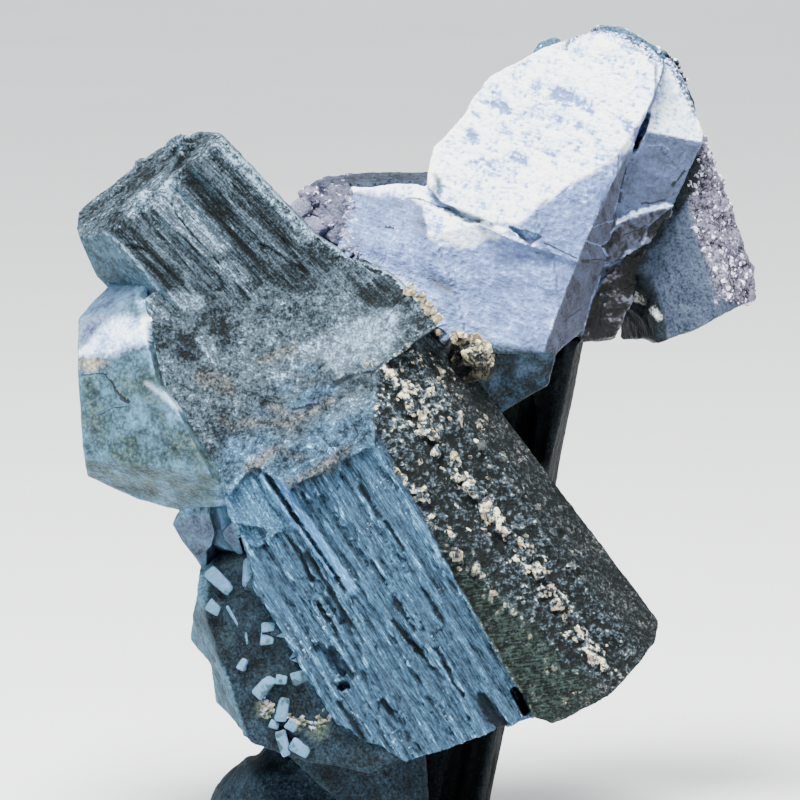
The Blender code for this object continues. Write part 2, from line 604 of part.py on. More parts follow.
def apatite_crown():
    shapes = [crown_upper(), crown_lower(), crown_wing(), crown_step(), crown_hollow(), crown_keel()]
    crown = joined("apatite_crown", shapes, WHITE)
    opening = at(0, 0, CRACK_OPENING)
    cracks = [extruded([at(*corner) for corner in floor], opening) for floor in CROWN_CRACKS]
    return boolean(crown, [cutter("crack", bm) for bm in cracks], "DIFFERENCE")


LEFT_OUTLINE = [
    (-29.3, 56.3), (-30.4, 55.2), (-32.1, 53.1), (-32.1, 48.3), (-31.8, 42.9), (-31.2, 37.4),
    (-26.1, 35.1), (-22.0, 34.0), (-17.9, 34.4), (-17.4, 36.0), (-18.4, 37.2), (-20.5, 41.3),
    (-22.5, 44.8), (-24.0, 46.8), (-25.0, 50.6), (-25.9, 55.0), (-26.5, 58.0),
]  # fmt: skip
BUD_OUTLINE = [
    (-22.7, 32.6), (-21.9, 33.7), (-18.9, 33.8), (-18.4, 31.8), (-18.8, 30.5), (-20.2, 29.0),
    (-21.8, 30.9),
]  # fmt: skip
BUD_BACK_OUTLINE = [(-19.6, 33.9), (-16.8, 35.2), (-16.0, 33.1), (-16.4, 31.0), (-19.2, 30.6)]
CHIP_OUTLINE = [(-17.7, 32.0), (-16.5, 33.0), (-15.6, 32.2), (-15.1, 29.5), (-17.4, 31.1)]


def apatite_left():
    """The blocky apatite on the left flank, with two bright faces over a large stained one."""
    bm = slab(LEFT_OUTLINE, -8.0, 14.0)
    chop(bm, (-32.0, 48.6, 3.6), (-24.5, 49.6, 7.4), (-31.0, 38.0, 4.6))
    chop(bm, (-32.0, 48.6, 3.6), (-24.5, 49.6, 7.4), (-32.0, 53.0, 1.2))
    chop(bm, (-32.0, 53.0, 1.2), (-26.5, 54.8, 4.6), (-29.5, 57.0, -3.0))
    chop(bm, (-31.2, 39.0, 4.5), (-21.5, 36.4, 6.6), (-22.5, 34.0, 2.0))
    chop(bm, (-32.0, 50.0, -3.0), (-31.2, 38.0, -3.0), (-27.0, 44.0, -8.5))
    return joined("apatite_left", [bm], SEA_WHITE)


def apatite_buds():
    """Two small apatites under the left one, grown together on a third that lies further back."""
    bud = chop(slab(BUD_OUTLINE, -5.0, 6.0), (-22.7, 32.6, 1.2), (-18.4, 32.0, 4.6), (-20.2, 29.0, 1.4))
    chip = chop(slab(CHIP_OUTLINE, -5.0, 6.0), (-17.7, 32.0, 4.0), (-15.6, 32.0, 5.4), (-15.1, 29.5, 4.2))
    back = chop(slab(BUD_BACK_OUTLINE, -5.0, 6.0), (-19.6, 33.9, 2.6), (-16.8, 35.2, 3.8), (-16.4, 31.0, 2.4))
    return joined("apatite_buds", [back, bud, chip], SEA_WHITE)


# ---- putting it together -------------------------------------------------------------------------------


def stand(pieces):
    """Leans the group back, trims it flat underneath, centres it on its base and turns it into metres."""
    lean = Matrix.Rotation(math.radians(-LEAN_DEG), 4, "X")
    for obj in pieces:
        obj.data.transform(lean)
        bm = bmesh.new()
        bm.from_mesh(obj.data)
        if min(vert.co.z for vert in bm.verts) < 0:
            shape = bm.verts[:] + bm.edges[:] + bm.faces[:]
            cut = bmesh.ops.bisect_plane(
                bm, geom=shape, plane_co=(0, 0, 0), plane_no=(0, 0, -1), dist=1e-5, clear_outer=True
            )
            rim = [e for e in cut["geom_cut"] if isinstance(e, bmesh.types.BMEdge)]
            bmesh.ops.edgeloop_fill(bm, edges=rim)
            bmesh.ops.triangulate(bm, faces=bm.faces)
        bm.to_mesh(obj.data)
        bm.free()
    corners = [vert.co for obj in pieces for vert in obj.data.vertices]
    middle = Vector(
        ((min(c[i] for c in corners) + max(c[i] for c in corners)) / 2 for i in range(2))
    )
    to_metres = Matrix.Scale(MM, 4) @ Matrix.Translation((-middle.x, -middle.y, 0))
    for obj in pieces:
        obj.data.transform(to_metres)


def main():
    for obj in list(bpy.data.objects):
        bpy.data.objects.remove(obj)
    collection(SPECIMEN)
    collection(CUTTERS)
    trunk = hornblende_trunk()
    crown = made_room(apatite_crown(), [trunk])
    foot = made_room(stud_foot(hornblende_foot()), [trunk])
    left = made_room(apatite_left(), [trunk, foot])
    buds = made_room(apatite_buds(), [trunk, foot, left])
    right = made_room(hornblende_right(), [crown])
    back = made_room(hornblende_back(), [trunk, crown])
    rear = made_room(hornblende_rear(), [trunk, crown, foot])
    knob = made_room(matrix_knob(), [foot, rear])
    crumb = made_room(matrix_crumb(), [trunk, crown])
    weather_trunk(trunk)
    crust_right(right)
    stand([trunk, crown, foot, left, buds, right, back, rear, knob, crumb])


main()
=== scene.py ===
"""Hydroxylapatite with hornblende: weathers, colours and stages the crystals of one specimen.

Lengths are millimetres in the group's upright frame (across to the right, up, and toward the show
side) until a piece is finished; at() and row_places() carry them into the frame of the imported
solids, in metres.
"""

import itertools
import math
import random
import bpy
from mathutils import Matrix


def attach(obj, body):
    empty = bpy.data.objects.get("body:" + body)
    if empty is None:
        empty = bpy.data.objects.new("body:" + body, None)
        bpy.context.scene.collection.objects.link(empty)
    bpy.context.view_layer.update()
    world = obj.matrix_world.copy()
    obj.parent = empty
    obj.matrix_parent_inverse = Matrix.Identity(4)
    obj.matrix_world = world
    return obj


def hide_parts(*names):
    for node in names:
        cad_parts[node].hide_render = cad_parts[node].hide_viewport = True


bl_info = {
    "name": "Hydroxylapatite with hornblende",
    "version": (1, 0, 0),
    "blender": (4, 5, 0),
    "location": "3D View > Sidebar > Specimen",
    "description": "Gives the crystals of the specimen their cleavage, crusts, grains and finish",
    "category": "Object",
}

import bmesh
import bpy
import numpy as np
from mathutils import Matrix, Vector
from mathutils.bvhtree import BVHTree

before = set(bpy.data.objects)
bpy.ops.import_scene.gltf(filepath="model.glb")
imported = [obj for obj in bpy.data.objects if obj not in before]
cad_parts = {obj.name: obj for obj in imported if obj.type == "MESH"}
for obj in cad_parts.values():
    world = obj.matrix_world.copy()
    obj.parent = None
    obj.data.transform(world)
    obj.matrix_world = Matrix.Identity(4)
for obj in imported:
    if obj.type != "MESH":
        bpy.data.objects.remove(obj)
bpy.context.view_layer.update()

MM = 0.001
SEED = 47
LEAN = math.radians(8.0)
MIDDLE_ACROSS, MIDDLE_AWAY = 1.65, 9.6764  # where the middle of the group lies before it is centred
IN_FRONT = 100.0  # clear of the group on the show side
FRAME_WIDTH = 0.080  # what the camera takes in at the middle of the group, in metres
ROOT_REACH, ROOT_FULL, ROOT_DEPTH = 1.7, 0.9, 0.35  # how crystals grow out to their neighbours
GRAIN_SHAPES, TABLET_SHAPES = 8, 4  # how many different ones are made
INSIDE = 0.5  # a place belongs to a zone that is stronger than this
SAME_PLACE = 1e-6  # corners of a solid closer than this, in metres, are one
TOUCHING = 1e-4  # crystals closer than this already meet
STROKE_SOFT = 0.07  # over what the edge of a drawn stroke fades
CREST_GAIN = 2.5  # how soon a bend in the skin counts as a crest
SHARP_ANGLE_DEG = 50.0  # skins are smooth up to this angle


# ---- places and directions -----------------------------------------------------------------------


def turned(across, up, toward):
    """A direction of the upright frame as the leaning group holds it."""
    sine, cosine = math.sin(LEAN), math.cos(LEAN)
    return Vector((across, up * sine - toward * cosine, up * cosine + toward * sine))


def at(across, up, toward):
    """A place of the upright frame, in metres in the frame of the solids."""
    return (turned(across, up, toward) - Vector((MIDDLE_ACROSS, MIDDLE_AWAY, 0))) * MM


TO_UPRIGHT = np.array([turned(1, 0, 0), turned(0, 1, 0), turned(0, 0, 1)])


def upright_places(places):
    """Rows of metres in the frame of the solids as rows of (across, up, toward)."""
    return (places / MM + np.array((MIDDLE_ACROSS, MIDDLE_AWAY, 0))) @ TO_UPRIGHT.T


def row_places(places):
    """The way back from upright_places()."""
    return (places @ TO_UPRIGHT - np.array((MIDDLE_ACROSS, MIDDLE_AWAY, 0))) * MM


class Growth:
    """The long axis of a prism: a place on it, and its fall to the right in degrees."""

    def __init__(self, across, up, fall_deg):
        fall = math.radians(fall_deg)
        self.middle = (across, up, 0.0)
        self.along = (math.cos(fall), -math.sin(fall), 0.0)
        self.side = (math.sin(fall), math.cos(fall), 0.0)

    def local(self, places):
        """Places as rows of (along, side, toward)."""
        offset = places - np.array(self.middle)
        return np.stack((offset @ self.along, offset @ self.side, offset[:, 2]), axis=1)

    def place(self, along, side):
        """The (across, up) of a place counted along the axis and to its side."""
        return [self.middle[i] + self.along[i] * along + self.side[i] * side for i in (0, 1)]

    def turn(self):
        """How the axis lies in the frame of the solids, as angles for a Mapping node."""
        columns = (turned(*self.along), turned(*self.side), turned(0, 0, 1))
        return Matrix(columns).transposed().to_euler()


UPPER = Growth(-19.6, 59.9, 46.5)
CLEAVED = Growth(5.4, 27.5, 57.5)
FLECKED = Growth(2.1, 28.35, 53.0)
FIBRES = Growth(6.0, 24.0, -9.0)
REAR = Growth(10.2, 27.0, 101.5)
CROWN = Growth(14.0, 66.0, 20.0)
CROWN_SIDE = Growth(18.0, 60.0, 69.0)
RIGHT = Growth(28.0, 62.0, 74.0)


# ---- relief --------------------------------------------------------------------------------------

RISER = 0.25  # the share of a terrace that rises
GRAIN = np.random.default_rng(SEED).uniform(-1, 1, (61, 61, 61))


def grain(places, size, seed):
    """Smooth random relief from -1 to 1, in lumps of one size or of a size in each direction."""
    scaled = places / np.array(size) + seed * 7.31
    cells = np.floor(scaled).astype(int)
    part = scaled - cells
    part = part * part * (3 - 2 * part)
    total = np.zeros(len(places))
    for corner in itertools.product((0, 1), repeat=3):
        weight = np.prod(np.where(np.array(corner) == 1, part, 1 - part), axis=1)
        index = (cells + np.array(corner)) % len(GRAIN)
        total += weight * GRAIN[index[:, 0], index[:, 1], index[:, 2]]
    return total


def rough(places, size, seed, layers=3):
    """Random relief with finer and finer lumps on its lumps."""
    shares = [0.5**layer for layer in range(layers)]
    sizes = [np.array(size) * share for share in shares]
    total = sum(
        share * grain(places, sizes[layer], seed + layer) for layer, share in enumerate(shares)
    )
    return total / sum(shares)


def ramp(values, low, high):
    """0 up to low, 1 from high on, and a smooth rise between; high may be the smaller one."""
    part = np.clip((values - low) / (high - low), 0, 1)
    return part * part * (3 - 2 * part)


def terraced(values, step):
    """The values as flat steps with short risers between them, as cleavage leaves them."""
    cells = np.floor(values / step)
    return step * (cells + ramp(values / step - cells, 1 - RISER, 1))


def bound_at(line, values):
    """Where a broken line lies: its second numbers, read at values of its first."""
    return np.interp(values, *zip(*line))


def grooves(places, size, seed, width):
    """1 along thin winding lines and 0 elsewhere."""
    return ramp(np.abs(grain(places, size, seed)), width, 0)


def left_of(places, start, end):
    """How far a place lies left of a line, seen from the show side; negative on the right."""
    run, rise = end[0] - start[0], end[1] - start[1]
    length = math.hypot(run, rise)
    return ((places[:, 1] - start[1]) * run - (places[:, 0] - start[0]) * rise) / length


def near_line(places, start, end):
    """How far a place lies from the line between two points, seen from the show side."""
    run = np.array(end) - np.array(start)
    offset = places[:, :2] - np.array(start)
    share = np.clip(offset @ run / (run @ run), 0, 1)
    return np.linalg.norm(offset - share[:, None] * run, axis=1)


def lines_of(*paths):
    """Lines of (start, end, half width) from paths with a half width between each two places."""
    return [(path[i - 1], path[i + 1], path[i]) for path in paths for i in range(1, len(path), 2)]


def drawn(places, lines, wobble=0.0, soft=0.15):
    """1 along lines of (start, end, half width), fading over soft; wobble makes edges uneven."""
    apart = [near_line(places, *line) - half + wobble for *line, half in lines]
    return ramp(np.minimum.reduce(apart), soft, -0.5 * soft)


def near_spot(places, across, up):
    """How far a place lies from a spot, seen from the show side."""
    return np.hypot(places[:, 0] - across, places[:, 1] - up)


# ---- the zones and relief of each crystal --------------------------------------------------------

# Marks lie along paths of (across, up), with a half width between each two places.

# Rows of flecks on the flecked face: (side of the axis, first reach, last reach)
FLECK_ROWS = [(3.9, -9.0, 5.0), (8.6, -19.0, 17.5), (12.6, -17.0, 12.0)]
DULL_SIDE, DULL_REACH = 10.0, -7.0  # flecks beyond both are dull
# Where the flecked face ends: against the cleavage face, and at its head
BROWN_EDGE = ((-1.9, 41.0), (12.8, 13.9))
BROWN_HEAD_LEFT, BROWN_HEAD_TOP = ((-2.4, 41.0), (-2.4, 47.5)), ((-2.8, 47.6), (1.1, 50.7))
# Other bounds on the trunk: under the upper prism, on its broken end, and beside the smooth plate
UPPER_EDGE = ((-18.5, 39.8), (-1.0, 56.5))
BROKEN_END = ((-29.0, 61.8), (-18.5, 70.5))
PLATE_SIDE = ((-13.4, 37.4), (-5.4, 26.4))
GREEN_STREAK = ((-5.6, 57.0), (-0.6, 54.8))
CRUSTED_SPOT = (2.2, 52.6)  # where the crown grows out of the upper prism
# The ledge over the cleavage face, as (across, up)
LEDGE = [
    (-19.0, 35.2), (-16.8, 36.2), (-14.5, 38.4), (-10.9, 36.3), (-6.6, 38.6), (-2.5, 40.6),
    (0.0, 42.0),
]
# Bright ridges and dark furrows of the cleavage face
RIDGES = lines_of(
    [(-12.1, 37.1), 0.42, (-4.6, 26.2)], [(-13.8, 37.4), 0.22, (-6.7, 27.6)],
)
FURROWS = lines_of(
    [(-13.1, 37.6), 0.16, (-5.4, 26.4)], [(-9.3, 29.8), 0.26, (-4.9, 22.6)],
    [(-10.8, 31.5), 0.16, (-8.7, 27.2)], [(-2.9, 29.2), 0.12, (1.4, 22.2)],
    [(-0.6, 23.2), 0.16, (3.2, 18.6)], [(-9.8, 35.8), 0.14, (-7.6, 32.4)],
    [(2.2, 26.4), 0.14, (4.4, 22.8)], [(-4.0, 36.4), 0.14, (-2.0, 33.4)],
    [(-1.6, 15.2), 0.14, (0.9, 11.4)], [(-6.0, 14.8), 0.3, (-2.4, 9.6)],
    [(-7.0, 20.4), 0.35, (-4.8, 17.6)], [(8.2, 15.6), 0.6, (10.4, 12.0)],
    [(-1.5, 33.0), 0.1, (0.2, 30.2)], [(3.4, 20.4), 0.12, (6.2, 15.8)],
    [(-8.2, 25.0), 0.1, (-5.6, 20.8)],
)
# Spots where painted glints gather on the cleavage face
SILKY_SPOTS = [
    (-1.7, 37.1), (-3.3, 32.6), (4.6, 25.9), (0.8, 24.7), (4.6, 14.9), (-0.3, 11.0), (-5.5, 26.7),
    (-10.6, 21.6), (-9.4, 20.6), (-7.4, 23.2), (0.6, 34.0), (-6.8, 17.6),
]
# The smooth plate at the upper left of the cleavage face, by its ragged lower edge
PLATE_EDGE = [(-16.5, 31.2), (-14.1, 30.2), (-11.9, 32.0), (-10.6, 32.2)]
# Smears of black and of pale dust on the upper prism and the saddle
DARK_SMEARS = lines_of(
    [(-28.2, 62.9), 0.9, (-22.6, 56.6)], [(-21.6, 68.3), 0.9, (-17.4, 63.4)],
    [(-16.1, 65.5), 0.6, (-11.3, 60.6)], [(-17.4, 62.1), 0.4, (-12.8, 57.4)],
    [(-10.9, 57.5), 1.3, (-10.1, 56.7)], [(-22.4, 58.1), 0.2, (-17.4, 54.1)],
    [(-23.2, 51.0), 1.4, (-21.4, 50.0)], [(-18.6, 53.0), 1.0, (-17.0, 51.4)],
    [(-27.0, 66.4), 0.5, (-25.4, 67.4)], [(-3.4, 55.5), 0.6, (0.2, 54.7)],
    [(-1.8, 56.6), 0.4, (0.0, 55.6)], [(-1.2, 54.4), 0.2, (0.4, 53.9)],
    [(-9.6, 60.0), 0.4, (-7.4, 58.2)], [(1.2, 52.8), 0.1, (2.2, 52.4)],
    [(-12.2, 57.2), 0.5, (-8.6, 56.4)],
)
PALE_SMEARS = lines_of(
    [(-28.9, 61.2), 0.1, (-24.7, 56.3)], [(-19.4, 71.6), 0.25, (-8.8, 61.0)],
    [(-22.4, 55.4), 0.8, (-20.6, 54.7)], [(-17.2, 58.3), 0.7, (-15.6, 57.2)],
    [(-20.2, 51.1), 0.04, (-18.3, 48.5)], [(-24.4, 66.0), 1.1, (-18.0, 60.4)],
    [(-26.6, 64.2), 1.0, (-23.6, 66.2)], [(-12.0, 47.6), 0.9, (-6.0, 51.6)],
    [(-6.4, 43.4), 1.0, (-3.4, 45.0)],
)
SILVER_PATCHES = lines_of(
    [(-9.4, 50.2), 1.4, (-1.2, 52.2)], [(-6.0, 49.0), 1.4, (-2.6, 50.0)],
    [(-1.4, 53.0), 0.6, (1.0, 53.2)], [(-16.4, 55.6), 0.3, (-14.8, 54.6)],
)
# Blue patches in the saddle, painted with the cleavage face's sheen
SHEEN_PATCHES = lines_of(
    [(-8.0, 41.5), 1.1, (-4.4, 42.4)], [(-6.6, 40.5), 0.8, (-4.4, 41.5)],
    [(-10.6, 44.6), 0.4, (-8.1, 45.0)], [(-9.4, 45.0), 0.6, (-6.9, 46.2)],
    [(-13.2, 46.7), 0.5, (-11.2, 46.4)], [(-10.2, 48.4), 0.3, (-8.6, 48.1)],
    [(-15.1, 44.8), 0.4, (-13.9, 43.8)], [(-18.6, 41.6), 1.2, (-15.6, 39.8)],
    [(-8.6, 56.0), 0.4, (-6.6, 55.2)],
)
# Painted highlights along edges of the trunk
EDGE_LIGHTS = lines_of(
    [(-12.1, 65.1), 0.06, (-10.8, 63.8), 0.08, (-9.5, 62.4), 0.06, (-8.3, 61.3), 0.04,
     (-6.5, 60.1), 0.07, (-5.1, 59.1), 0.05, (-2.4, 58.2), 0.08, (-1.0, 57.5), 0.1,
     (0.7, 56.0), 0.06, (1.9, 54.9)],
    [(-29.2, 61.6), 0.05, (-27.6, 60.4), 0.1, (-25.6, 58.0), 0.07, (-24.0, 56.0)],
    [(-18.4, 71.6), 0.06, (-14.2, 67.4), 0.04, (-12.1, 65.1)], [(-20.2, 51.1), 0.03, (-18.3, 48.5)],
)
# Dark lines under the saddle's steps: painted shadow
SADDLE_STEPS = lines_of(
    [(-6.6, 46.5), 0.26, (-5.4, 47.2), 0.16, (-4.2, 47.6), 0.05, (-2.7, 47.8)],
    [(-2.7, 47.7), 0.03, (-1.6, 48.8)], [(-6.2, 39.6), 0.03, (-4.1, 40.9)],
    [(-10.2, 42.2), 0.2, (-9.9, 42.0)], [(-10.6, 44.1), 0.08, (-8.2, 44.6)],
    [(-7.6, 41.2), 0.03, (-6.6, 40.2)], [(-4.6, 42.6), 0.04, (-4.2, 41.8)],
)
TAN_ARCS = lines_of(
    [(-15.7, 42.7), 0.25, (-11.4, 42.7), 0.25, (-9.3, 43.5), 0.15, (-6.8, 45.1)],
    [(-12.7, 44.4), 0.15, (-11.7, 43.9)], [(-19.4, 47.4), 0.7, (-17.0, 46.2)],
    [(-13.9, 48.8), 0.15, (-10.6, 50.2)], [(1.6, 51.6), 0.4, (3.2, 51.2)],
    [(-17.6, 43.0), 0.3, (-16.6, 42.4)], [(-14.8, 38.3), 0.35, (-12.1, 40.2), 0.35, (-9.8, 39.2)],
    [(-10.9, 36.5), 0.5, (-6.6, 38.9), 0.4, (-5.4, 39.9)],
)


def trunk_zones(places, normals):
    """The parts of the trunk's skin, each from 0 to 1."""
    across, up, facing = places[:, 0], places[:, 1], normals[:, 2]
    wobble = 0.9 * rough(places, 2.6, 3) + 0.5 * rough(places, 0.8, 4)
    front = ramp(facing, 0.1, 0.45)
    ledge = bound_at(LEDGE, across) - up + 1.2 * wobble
    bounds = [
        left_of(places, *BROWN_EDGE) + 0.3 * wobble,
        -left_of(places, *BROWN_HEAD_LEFT) + 0.4 * wobble,
        -left_of(places, *BROWN_HEAD_TOP) + 0.7 * wobble,
    ]
    brown = ramp(np.minimum.reduce(bounds), -0.15, 0.3)
    blue = ramp(ledge, -0.9, 0.6) * (1 - brown)
    upper = ramp(left_of(places, *UPPER_EDGE) + wobble, -1.2, 1.2) * (1 - blue) * (1 - brown)
    pale = (1 - upper) * (1 - blue) * (1 - brown)

    local = UPPER.local(places)
    striated = ramp(6.5 + 0.55 * local[:, 1] - local[:, 0] + 2.0 * wobble, -1.5, 1.5)
    cap = ramp(left_of(places, *BROKEN_END) + 1.3 * wobble, -2.3, 0.2) * upper
    rim = ramp(local[:, 1] + wobble, 7.0, 8.6) * upper
    flank = ramp(-normals @ np.array(UPPER.side), 0.3, 0.6) * upper * ramp(across, -17.0, -21.0)
    crust = ramp(near_spot(places, *CRUSTED_SPOT) + 1.2 * wobble, 3.4, 1.6)
    green = ramp(near_line(places, *GREEN_STREAK) + 0.8 * wobble, 2.2, 0.8)

    along, aside = FLECKED.local(places)[:, :2].T
    olive = ramp(aside - 0.14 * along + 1.2 * wobble, 5.4, 2.4) * ramp(along + wobble, -7.0, 2.0)
    head = ramp(along + wobble, -8.0, -13.0)
    shares = (1.0, 1.0, 0.25 + 0.75 * head)
    rows = sum(
        share * ramp(np.abs(aside - row[0] + 0.8 * wobble), 1.5, 0.3)
        for share, row in zip(shares, FLECK_ROWS)
    )
    dust = np.maximum(ramp(aside + 1.6 * wobble, 10.5, 14.5), ramp(along + wobble, 17.5, 21.5))
    fleck = ramp(rough(places, (1.2, 1.0, 1.2), 5, 2) + 0.4 * grain(places, 0.4, 6), 0.2, 0.4)
    fleck *= np.clip(0.1 + rows + 0.5 * head, 0, 1) * brown

    ridge = drawn(places, RIDGES, soft=0.1) * blue
    torn = 0.28 * grain(CLEAVED.local(places), (1.6, 0.3, 1), 8) + 0.1 * wobble
    silky = [ramp(near_spot(places, *spot) + wobble, 1.9, 0.3) for spot in SILKY_SPOTS]
    plate = ramp(up - bound_at(PLATE_EDGE, across) + 0.5 * wobble, -0.1, 0.15) * blue
    return {
        "dark": drawn(places, DARK_SMEARS, 0.6 * wobble, 0.5) * front * (1 - blue),
        "light": drawn(places, PALE_SMEARS, 0.3 * wobble, 0.4) * front * (1 - blue),
        "silver": drawn(places, SILVER_PATCHES, 0.9 * wobble, 0.8) * pale * front,
        "sheen": drawn(places, SHEEN_PATCHES, 0.5 * wobble, 0.5) * pale * front,
        "tan": drawn(places, TAN_ARCS, 0.5 * wobble, 0.5) * (1 - brown) * front,
        "bluish": ramp(ledge + 1.5 * rough(places, 2.4, 9), -5.5, -2.0) * pale,
        "upper": upper,
        "striated": striated * upper * front,
        "cap": np.maximum(cap, rim),
        "flank": flank,
        "crust": crust * (1 - blue),
        "green": green * (1 - blue),
        "pale": pale,
        "brown": brown,
        "olive": olive * brown,
        "rows": np.clip(rows + head, 0, 1) * brown,
        "dust": dust * brown,
        "fleck": fleck,
        "blue": blue,
        "ridge": ridge,
        "seam": drawn(places, FURROWS, torn, 0.12) * blue * (1 - ridge),
        "silky": np.maximum.reduce(silky) * blue,
        "plate": plate * ramp(left_of(places, *PLATE_SIDE), -0.1, -0.4),
        "brink": ramp(-normals @ np.array(CLEAVED.side), 0.3, 0.7) * blue,
        "back": ramp(facing, -0.05, -0.4),
    }


def merged(relief, zones, forms):
    """The relief with each (zone, form) put in its place where the zone is strong."""
    for zone, form in forms:
        relief = relief * (1 - zones[zone]) + form * zones[zone]
    return relief


def trunk_relief(places, zones):
    """How far the trunk's skin stands out or in."""
    upper, cleaved, flecked = (growth.local(places) for growth in (UPPER, CLEAVED, FLECKED))
    striae = 0.16 * terraced(grain(upper, (17, 1.25, 2.5), 11), 0.5)
    striae += 0.09 * grain(upper, (7, 0.45, 1), 12) - 0.24 * grooves(upper, (11, 1.5, 4), 13, 0.07)
    striae += 0.05 * rough(places, 0.7, 14, 2)
    lumpy = 0.22 * rough(places, 2.4, 15) + 0.13 * rough(places, 0.8, 16, 2)
    fibres = 0.12 * terraced(grain(cleaved, (11, 1.4, 2), 17), 0.4)
    fibres += 0.09 * terraced(grain(cleaved, (5.5, 0.42, 1), 18), 0.5)
    splits = 0.20 * grooves(cleaved, (5, 0.8, 3), 19, 0.06)
    fibres -= splits * ramp(grain(cleaved, (6, 2, 2), 27), -0.1, 0.2)
    splits = 0.16 * grooves(cleaved, (2.6, 0.42, 1), 28, 0.09)
    fibres -= splits * ramp(grain(cleaved, (4, 2, 2), 29), 0.0, 0.3)
    fibres += 0.05 * rough(cleaved, (1.4, 0.4, 0.6), 20, 2)
    chipped = 0.14 * terraced(grain(flecked, (7, 1.6, 3), 21), 0.5) + 0.20 * rough(places, 1.2, 22)
    chipped += 0.10 * grain(places, 0.4, 23) + 0.22 * zones["fleck"]
    worn = 0.10 * rough(places, 1.4, 24) + 0.05 * grain(places, 0.4, 25)
    flat = 0.05 * rough(places, 2.0, 26)
    brink = 0.5 * rough(places, 1.5, 30) + fibres
    forms = [
        ("striated", striae), ("cap", lumpy), ("flank", flat), ("blue", fibres), ("brown", chipped),
        ("dust", worn), ("plate", flat + 0.22), ("ridge", flat), ("seam", flat - 0.35),
        ("brink", brink),
    ]
    return merged(lumpy, zones, forms)


# The bound of the crown's lit face, which is painted bright as lit by the key light, as (across,
# up)
LIT_EDGE = [
    (-6.0, 66.0), (-3.4, 65.7), (1.2, 65.1), (2.2, 64.5), (2.9, 61.4), (3.6, 60.4), (6.8, 60.2),
    (9.8, 61.1), (12.3, 62.9), (13.9, 64.3), (16.5, 66.1), (22.2, 69.3), (24.8, 71.0),
]
# The bounds of its steep side, which is painted dark as shade, as (up, across)
SIDE_LEFT = [(50.5, 14.5), (59.4, 17.8), (68.4, 22.0), (75.5, 25.4)]
SIDE_RIGHT = [
    (49.6, 17.6), (54.4, 19.0), (57.6, 20.4), (59.4, 20.7), (60.4, 20.1), (61.0, 21.0),
    (62.9, 21.6), (64.3, 21.5), (67.5, 22.5), (69.3, 22.8),
]
# The ledge over its broken hollow, as (across, up): where it starts and where it ends
LEDGE_HEAD = [(20.0, 61.0), (21.1, 61.7), (22.2, 62.9), (25.2, 64.0), (27.5, 64.4), (30.0, 65.0)]
LEDGE_SOLE = [
    (20.0, 58.2), (22.0, 58.8), (22.7, 59.9), (23.8, 60.1), (25.0, 62.4), (25.9, 63.3),
    (27.3, 64.3),
]
# Its cracks and pits, glassy wedges, dents, scratches and bright edges
CRACKS = lines_of(
    [(1.0, 65.3), 0.03, (4.9, 64.0)], [(14.4, 60.6), 0.03, (17.6, 59.1)],
    [(18.2, 58.9), 0.14, (18.7, 58.9)], [(27.3, 66.6), 0.1, (27.6, 66.9)],
    [(27.9, 67.1), 0.11, (28.5, 67.9)], [(24.2, 64.6), 0.04, (26.6, 65.0)],
    [(20.2, 60.3), 0.07, (20.9, 60.6)], [(22.0, 65.6), 0.12, (21.9, 64.9)],
    [(21.5, 63.4), 0.12, (21.4, 62.4)], [(22.6, 68.4), 0.03, (22.1, 66.2)],
    [(19.6, 52.4), 0.08, (20.2, 54.6)], [(18.7, 58.9), 0.02, (20.6, 59.0)],
    [(22.4, 61.4), 0.03, (24.6, 62.4)], [(-1.4, 62.3), 0.06, (-0.7, 62.1)],
    [(16.2, 52.8), 0.02, (18.0, 54.0)], [(21.4, 57.0), 0.08, (23.0, 57.8)],
)
WEDGES = lines_of(
    [(4.75, 64.0), 0.3, (9.1, 62.4)], [(3.9, 67.0), 0.25, (3.9, 65.8)],
)
GLASSY = lines_of(
    [(9.6, 62.6), 0.2, (13.8, 61.4)], [(3.5, 67.5), 0.25, (4.0, 66.0)],
    [(3.4, 66.2), 0.3, (3.7, 65.2)],
)
DENTS = lines_of(
    [(16.0, 75.4), 0.5, (17.0, 75.2)], [(17.6, 75.0), 0.3, (19.2, 74.0)],
    [(7.1, 72.0), 0.2, (7.4, 71.0)], [(11.4, 69.6), 0.5, (12.2, 69.0)],
    [(7.2, 73.9), 0.05, (7.9, 73.3)], [(13.6, 76.6), 0.3, (15.6, 76.2)],
    [(17.8, 72.4), 0.2, (19.2, 71.6)], [(9.6, 74.6), 0.15, (10.6, 74.2)],
    [(2.2, 62.6), 0.3, (3.8, 62.2)], [(-1.4, 62.3), 0.12, (-0.4, 61.9)],
    [(3.0, 57.0), 0.35, (4.6, 56.2)],
)
SCRATCHES = lines_of(
    [(19.0, 75.2), 0.02, (23.2, 72.2)], [(7.2, 73.9), 0.04, (7.9, 73.3)],
    [(17.4, 75.9), 0.02, (19.2, 75.1)], [(11.6, 65.6), 0.04, (12.4, 65.1)],
    [(2.2, 63.2), 0.06, (4.2, 62.5)], [(0.4, 58.2), 0.03, (2.2, 57.2)],
    [(8.0, 57.0), 0.03, (10.4, 56.2)], [(10.6, 54.2), 0.03, (13.0, 53.6)],
)
BRIGHT_EDGES = lines_of(
    [(21.1, 61.7), 0.05, (22.2, 62.9), 0.05, (25.2, 64.0), 0.07, (27.5, 64.4)],
    [(20.6, 58.5), 0.04, (22.0, 58.8)], [(22.7, 59.9), 0.04, (23.8, 60.1)],
    [(25.0, 62.4), 0.04, (25.9, 63.3)], [(14.4, 61.3), 0.03, (18.1, 60.3)],
    [(17.8, 61.1), 0.02, (20.1, 60.4), 0.05, (20.7, 59.4)], [(24.6, 71.8), 0.05, (29.8, 70.5)],
    [(24.8, 70.4), 0.03, (26.2, 70.6), 0.03, (27.0, 70.1)], [(21.5, 64.3), 0.04, (21.6, 62.9)],
    [(20.1, 57.4), 0.04, (18.9, 54.0)], [(19.0, 62.2), 0.03, (21.4, 62.9)],
)

